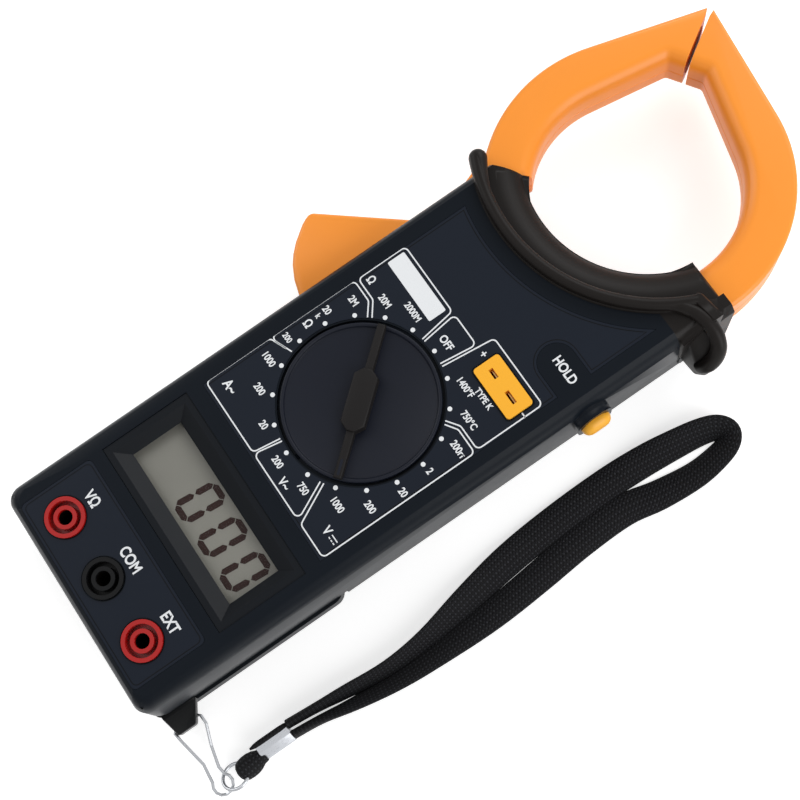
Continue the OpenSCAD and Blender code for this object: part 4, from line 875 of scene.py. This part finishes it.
finger, FINGER_STEPS = [], 8
for k in range(FINGER_STEPS + 1):
    angle, ease = math.radians(243.4 + 1.5 * k), k / FINGER_STEPS
    reach = BARRIER_R - 0.5 + 0.5 * ease
    finger.append((BARRIER_X + reach * math.cos(angle), BARRIER_Y + reach * math.sin(angle),
                   34.4 + 0.8 * ease, 2.5 - 0.85 * ease))

# The roll: x, y and height of its centre, and its radius
ROLL = [(22.9, 75.2, 35.2, 1.6), (24.9, 77.8, 35.2, 1.7), (27.4, 80.3, 35.1, 1.85), (30.5, 82.2, 34.9, 1.95),
        (34.0, 83.2, 34.4, 2.0), (37.4, 83.4, 33.3, 2.05), (40.2, 82.6, 31.2, 2.1), (41.6, 81.2, 28.4, 2.1),
        (41.9, 79.6, 25.6, 2.1), (41.4, 78.5, 23.2, 2.05), (40.6, 78.0, 21.0, 2.0)]
ROLL_STEPS = 4
centres = smooth_route([p[:3] for p in ROLL], ROLL_STEPS)
roll = [(*centre, ROLL[min(i // ROLL_STEPS, len(ROLL) - 1)][3]) for i, centre in enumerate(centres)]

# The lobe under the roll: the corners of its block, lower and upper
LOBE = [(34.2, 76.3, 14), (40.4, 76.7, 14), (42.4, 78.8, 14), (42.2, 82.4, 14), (39.4, 85.0, 14), (34.2, 87.6, 11),
        (34.2, 77.5, 28.5), (40.6, 76.8, 20), (42.6, 78.8, 22), (42.4, 82.4, 26), (39.6, 84.4, 30.5),
        (34.2, 80.6, 33.2), (34.2, 86.6, 31)]
lobe_mesh = bmesh.new()
bmesh.ops.convex_hull(lobe_mesh, input=[lobe_mesh.verts.new(vec(*p)) for p in LOBE])
bmesh.ops.dissolve_limit(lobe_mesh, angle_limit=math.radians(4), verts=lobe_mesh.verts, edges=lobe_mesh.edges)
soften(lobe_mesh, 1.7, segments=4, limit=12)
for name, bm, smooth in (("barrier_finger", tube(domed(finger, ends=(0,)), "finger"), 60),
                               ("barrier_roll", tube(domed(roll), "roll"), 60), ("barrier_lobe", lobe_mesh, 70)):
    add_piece(name, bm, "root", shroud_plastic, smooth=smooth)

# %% [markdown]
# ## Grooves round the labels
# A fine groove frames each label. Its shade is painted: a dark ribbon just inside the film's edge, with no cut in the
# label.

# %% Grooves round the labels
# A near-black ribbon: painted shade of the groove.
groove_painted_shade = plastic("groove_shadow", (0.0012, 0.0014, 0.0018), 0.6, gloss=0.1)
groove = bmesh.new()
GROOVE_IN, GROOVE_WIDE, GROOVE_Z = 0.75, 0.22, LABEL_TOP + 0.012
arch = BARRIER_R + 6.1 + GROOVE_IN
left, right, low = -27.5 + GROOVE_IN, 28.0 - GROOVE_IN, -31.0 + GROOVE_IN


def arch_y(x):
    return BARRIER_Y - math.sqrt(arch ** 2 - (x - BARRIER_X) ** 2)


start, stop = [math.degrees(math.atan2(arch_y(x) - BARRIER_Y, x - BARRIER_X)) % 360 for x in (left, right)]
TONGUE_X, TONGUE_Y, TONGUE_R = 20.6, 46.6, 5.2 + GROOVE_IN
outline = [(left, low)] + arc(arch, start, stop, 40, (BARRIER_X, BARRIER_Y)) + [(right, TONGUE_Y + TONGUE_R)]
outline += arc(TONGUE_R, 90, 270, 16, (TONGUE_X, TONGUE_Y)) + [(right, TONGUE_Y - TONGUE_R), (right, low)]
jack_x, jack_low, jack_high = 28.3 - GROOVE_IN, -87.5 + GROOVE_IN, -65.7 - GROOVE_IN
jack_edge = rounded([(-jack_x, jack_low), (jack_x, jack_low), (jack_x, jack_high), (-jack_x, jack_high)], 1.4)
for points in (outline, jack_edge):
    ribbon(groove, points, GROOVE_WIDE, GROOVE_Z, closed=True)
add_piece("label_grooves", groove, "root", groove_painted_shade, smooth=30)
print("grooves:", len(outline) + len(jack_edge), "points")

# %% [markdown]
# ## The end loop and the ferrule
# Below the crimped ferrule the braid comes out again as a short fold that holds the split ring. It is a small
# swept tube of the same braid. The ferrule is a sleeve of bright aluminium, squeezed flat on some sides, so it is
# an eight-sided block with soft edges. One strand shows along its side.

# %% The end loop and the ferrule
(low_x, low_y, low_z), (high_x, high_y, high_z) = [[c / MM for c in p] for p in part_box("strap_end_loop")]
mid_x, mid_z = (low_x + high_x) / 2 - 0.4, (low_z + high_z) / 2 + 0.2
# How far down the fold, half width and half thickness
FOLD = [(-1.0, 2.0, 1.6), (0.4, 2.2, 1.9), (1.6, 2.8, 2.3), (3.0, 3.15, 2.55), (4.6, 3.2, 2.6), (6.0, 3.0, 2.45),
        (7.0, 2.5, 2.0), (7.6, 1.6, 1.3), (7.85, 0.6, 0.5)]
fold = [(Vector((mid_x + 0.06 * down, high_y - down, mid_z)), 0, wide, thick) for down, wide, thick in FOLD]
end_loop = add_piece("strap_end_fold", sweep(fold, 24, "end loop")[0], "strap", braid, smooth=60)
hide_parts("strap_end_loop")

(low_x, low_y, low_z), (high_x, high_y, high_z) = [[c / MM for c in p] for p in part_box("strap_ferrule")]
corners = [(low_x + 0.5, low_z), (high_x - 0.9, low_z), (high_x, low_z + 1.2), (high_x, high_z - 1.9),
           (high_x - 2.0, high_z), (low_x + 0.5, high_z), (low_x, high_z - 0.6), (low_x, low_z + 0.5)]
sleeve = extruded(corners, -high_y, -low_y)
bmesh.ops.rotate(sleeve, verts=sleeve.verts, cent=(0, 0, 0), matrix=Matrix.Rotation(math.pi / 2, 3, "X"))
soften(sleeve, 0.28, segments=3, limit=20)
sleeve_piece = add_piece("ferrule_sleeve", sleeve, "strap", aluminium, smooth=30)
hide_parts("strap_ferrule")
STRAND = (0.3, 0.7, 0.8, 0.8, 0.8, 0.8, 0.8, 0.7, 0.3)
pitch = (high_y - low_y + 2.4) / (len(STRAND) - 1)
strand = [(Vector((low_x + 0.35, low_y - 1.4 + k * pitch, high_z - 0.15)), 0, wide, 0.8 * wide)
          for k, wide in enumerate(STRAND)]
add_piece("ferrule_strand", sweep(strand, 14, "side strand")[0], "strap", braid, smooth=60)

# %% [markdown]
# ## The hold button and the strap lug
# The hold button ends in a plump oval cap, lofted flat and then turned to face sideways. Its stem is a merged copy
# of the imported button, cut off inside the guard. The spring behind it is pressed together as the button goes in,
# and here it is a plain copy of the imported spring. The lug for the strap is a wedge with softened edges.

# %% The hold button and the strap lug
button_low, button_high = [[c / MM for c in p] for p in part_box("hold_button")]
middle_y, middle_z = (button_low[1] + button_high[1]) / 2, 22.6
CAP_LONG, CAP_WIDE, CAP_IN, CAP_OUT, STEM_END = 4.3, 3.1, 35.0, 39.4, 35.1


def cap_outline(inset):
    corners = [(-CAP_LONG, CAP_WIDE), (CAP_LONG, CAP_WIDE), (CAP_LONG, -CAP_WIDE), (-CAP_LONG, -CAP_WIDE)]
    return inset_outline(rounded(corners, CAP_WIDE - 0.1), inset)


cap = loft(fillet_levels(cap_outline, 0, CAP_OUT - CAP_IN, low=0.1, high=2.2, steps=5))
sideways = Matrix(((0, 0, 1), (1, 0, 0), (0, 1, 0)))
bmesh.ops.rotate(cap, verts=cap.verts, cent=(0, 0, 0), matrix=sideways)
bmesh.ops.translate(cap, verts=cap.verts, vec=vec(CAP_IN, middle_y, middle_z))
add_piece("hold_cap", cap, "button", yellow_plastic, smooth=50)
stem = merged_copy(("hold_button",))
cut_away(stem, STEM_END, 0)
stem_piece = add_piece("hold_stem", stem, "button", yellow_plastic, smooth=40)
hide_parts("hold_button")
print("button from x", round(button_low[0], 2), "to", round(button_high[0], 2))

# The lug's corners, at its narrow foot and where it meets the wall
LUG = [(x, y, z) for x in (36.0, 40.25) for y in (-89.65, -84.15) for z in (2.65, 6.35)]
LUG += [(x, y, z) for x in (33.2, 35.3) for y in (-89.65, -79.35) for z in (9.6, 12.75)]
lug = bmesh.new()
bmesh.ops.convex_hull(lug, input=[lug.verts.new(vec(*p)) for p in LUG])
bmesh.ops.dissolve_limit(lug, angle_limit=math.radians(1), verts=lug.verts, edges=lug.edges)
soften(lug, 0.5, segments=3, limit=15)
# Its dark plastic is painted shade of the pocket round it.
add_piece("strap_lug", lug, "root", lug_plastic_painted_shade, smooth=40)

coil = put("pressed_spring", nodes["hold_spring"].data.copy())
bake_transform(coil)
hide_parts("hold_spring")

# %% [markdown]
# ## Light and floor
# The meter lies on a white floor in soft light. Black plastic shows its shape only through what it mirrors, so
# two large soft boxes stand on its left and far side, where the shoulders of the case catch them as long soft
# streaks. The background is white to the camera and in mirrored and see-through rays alone: as a lamp, the world
# stays at a plain level. The floor glows a little to the same rays, so it stays white round the meter.

# %% Light and floor
def area_light(name, place, aim, size, power):
    """A soft box that looks at a point."""
    light = bpy.data.lights.new(name, "AREA")
    light.shape, light.size, light.size_y, light.energy = "RECTANGLE", size[0], size[1], power
    lamp = put(name, light)
    direction = Vector(aim) - Vector(place)
    lamp.matrix_world = Matrix.Translation(place) @ direction.to_track_quat("-Z", "Y").to_matrix().to_4x4()


def ray_kinds(tree, *kinds):
    """1 for rays of these kinds, else 0."""
    path, seen = tree.nodes.new("ShaderNodeLightPath"), 0.0
    for kind in kinds:
        seen = math_node(tree, "MAXIMUM", path.outputs[f"Is {kind} Ray"], seen)
    return seen


area_light("right_box", (0.75, 0.25, 0.5), (0, 0.02, 0.02), (0.5, 0.9), 5.2)
area_light("far_box", (-0.35, 0.75, 0.6), (0, 0.05, 0.02), (0.8, 0.4), 4.0)
area_light("left_box", (-0.7, -0.35, 0.55), (0, 0, 0.02), (0.4, 0.8), 2.8)

LAMP_LEVEL, FLOOR_GLOW = 0.32, 0.62
world = bpy.data.worlds.new("studio")
bpy.context.scene.world = world
world.use_nodes = True
tree = world.node_tree
seen = ray_kinds(tree, "Camera", "Transmission", "Glossy")
strength = scaled(tree, seen, 1 - LAMP_LEVEL, LAMP_LEVEL)
fill(tree, tree.nodes["Background"], {"Color": (1, 1, 1, 1), "Strength": strength})

floor_material, tree, paper = new_material("floor")
fill(tree, paper, {"Base Color": (0.8, 0.8, 0.8, 1), "Roughness": 0.9})
seen = ray_kinds(tree, "Camera", "Glossy")
glow = fill(tree, tree.nodes.new("ShaderNodeEmission"), {"Strength": math_node(tree, "MULTIPLY", seen, FLOOR_GLOW)})
both = fill(tree, tree.nodes.new("ShaderNodeAddShader"), {0: paper.outputs[0], 1: glow.outputs[0]})
fill(tree, tree.nodes["Material Output"], {"Surface": both.outputs[0]})

bm = bmesh.new()
bmesh.ops.create_grid(bm, x_segments=1, y_segments=1, size=3)
floor_mesh = bpy.data.meshes.new("floor")
bm.to_mesh(floor_mesh)
bm.free()
floor_mesh.materials.append(floor_material)
floor = put("floor", floor_mesh)
bpy.context.scene.view_settings.view_transform = "Standard"
print("floor and", len(bpy.data.lights), "lamps")
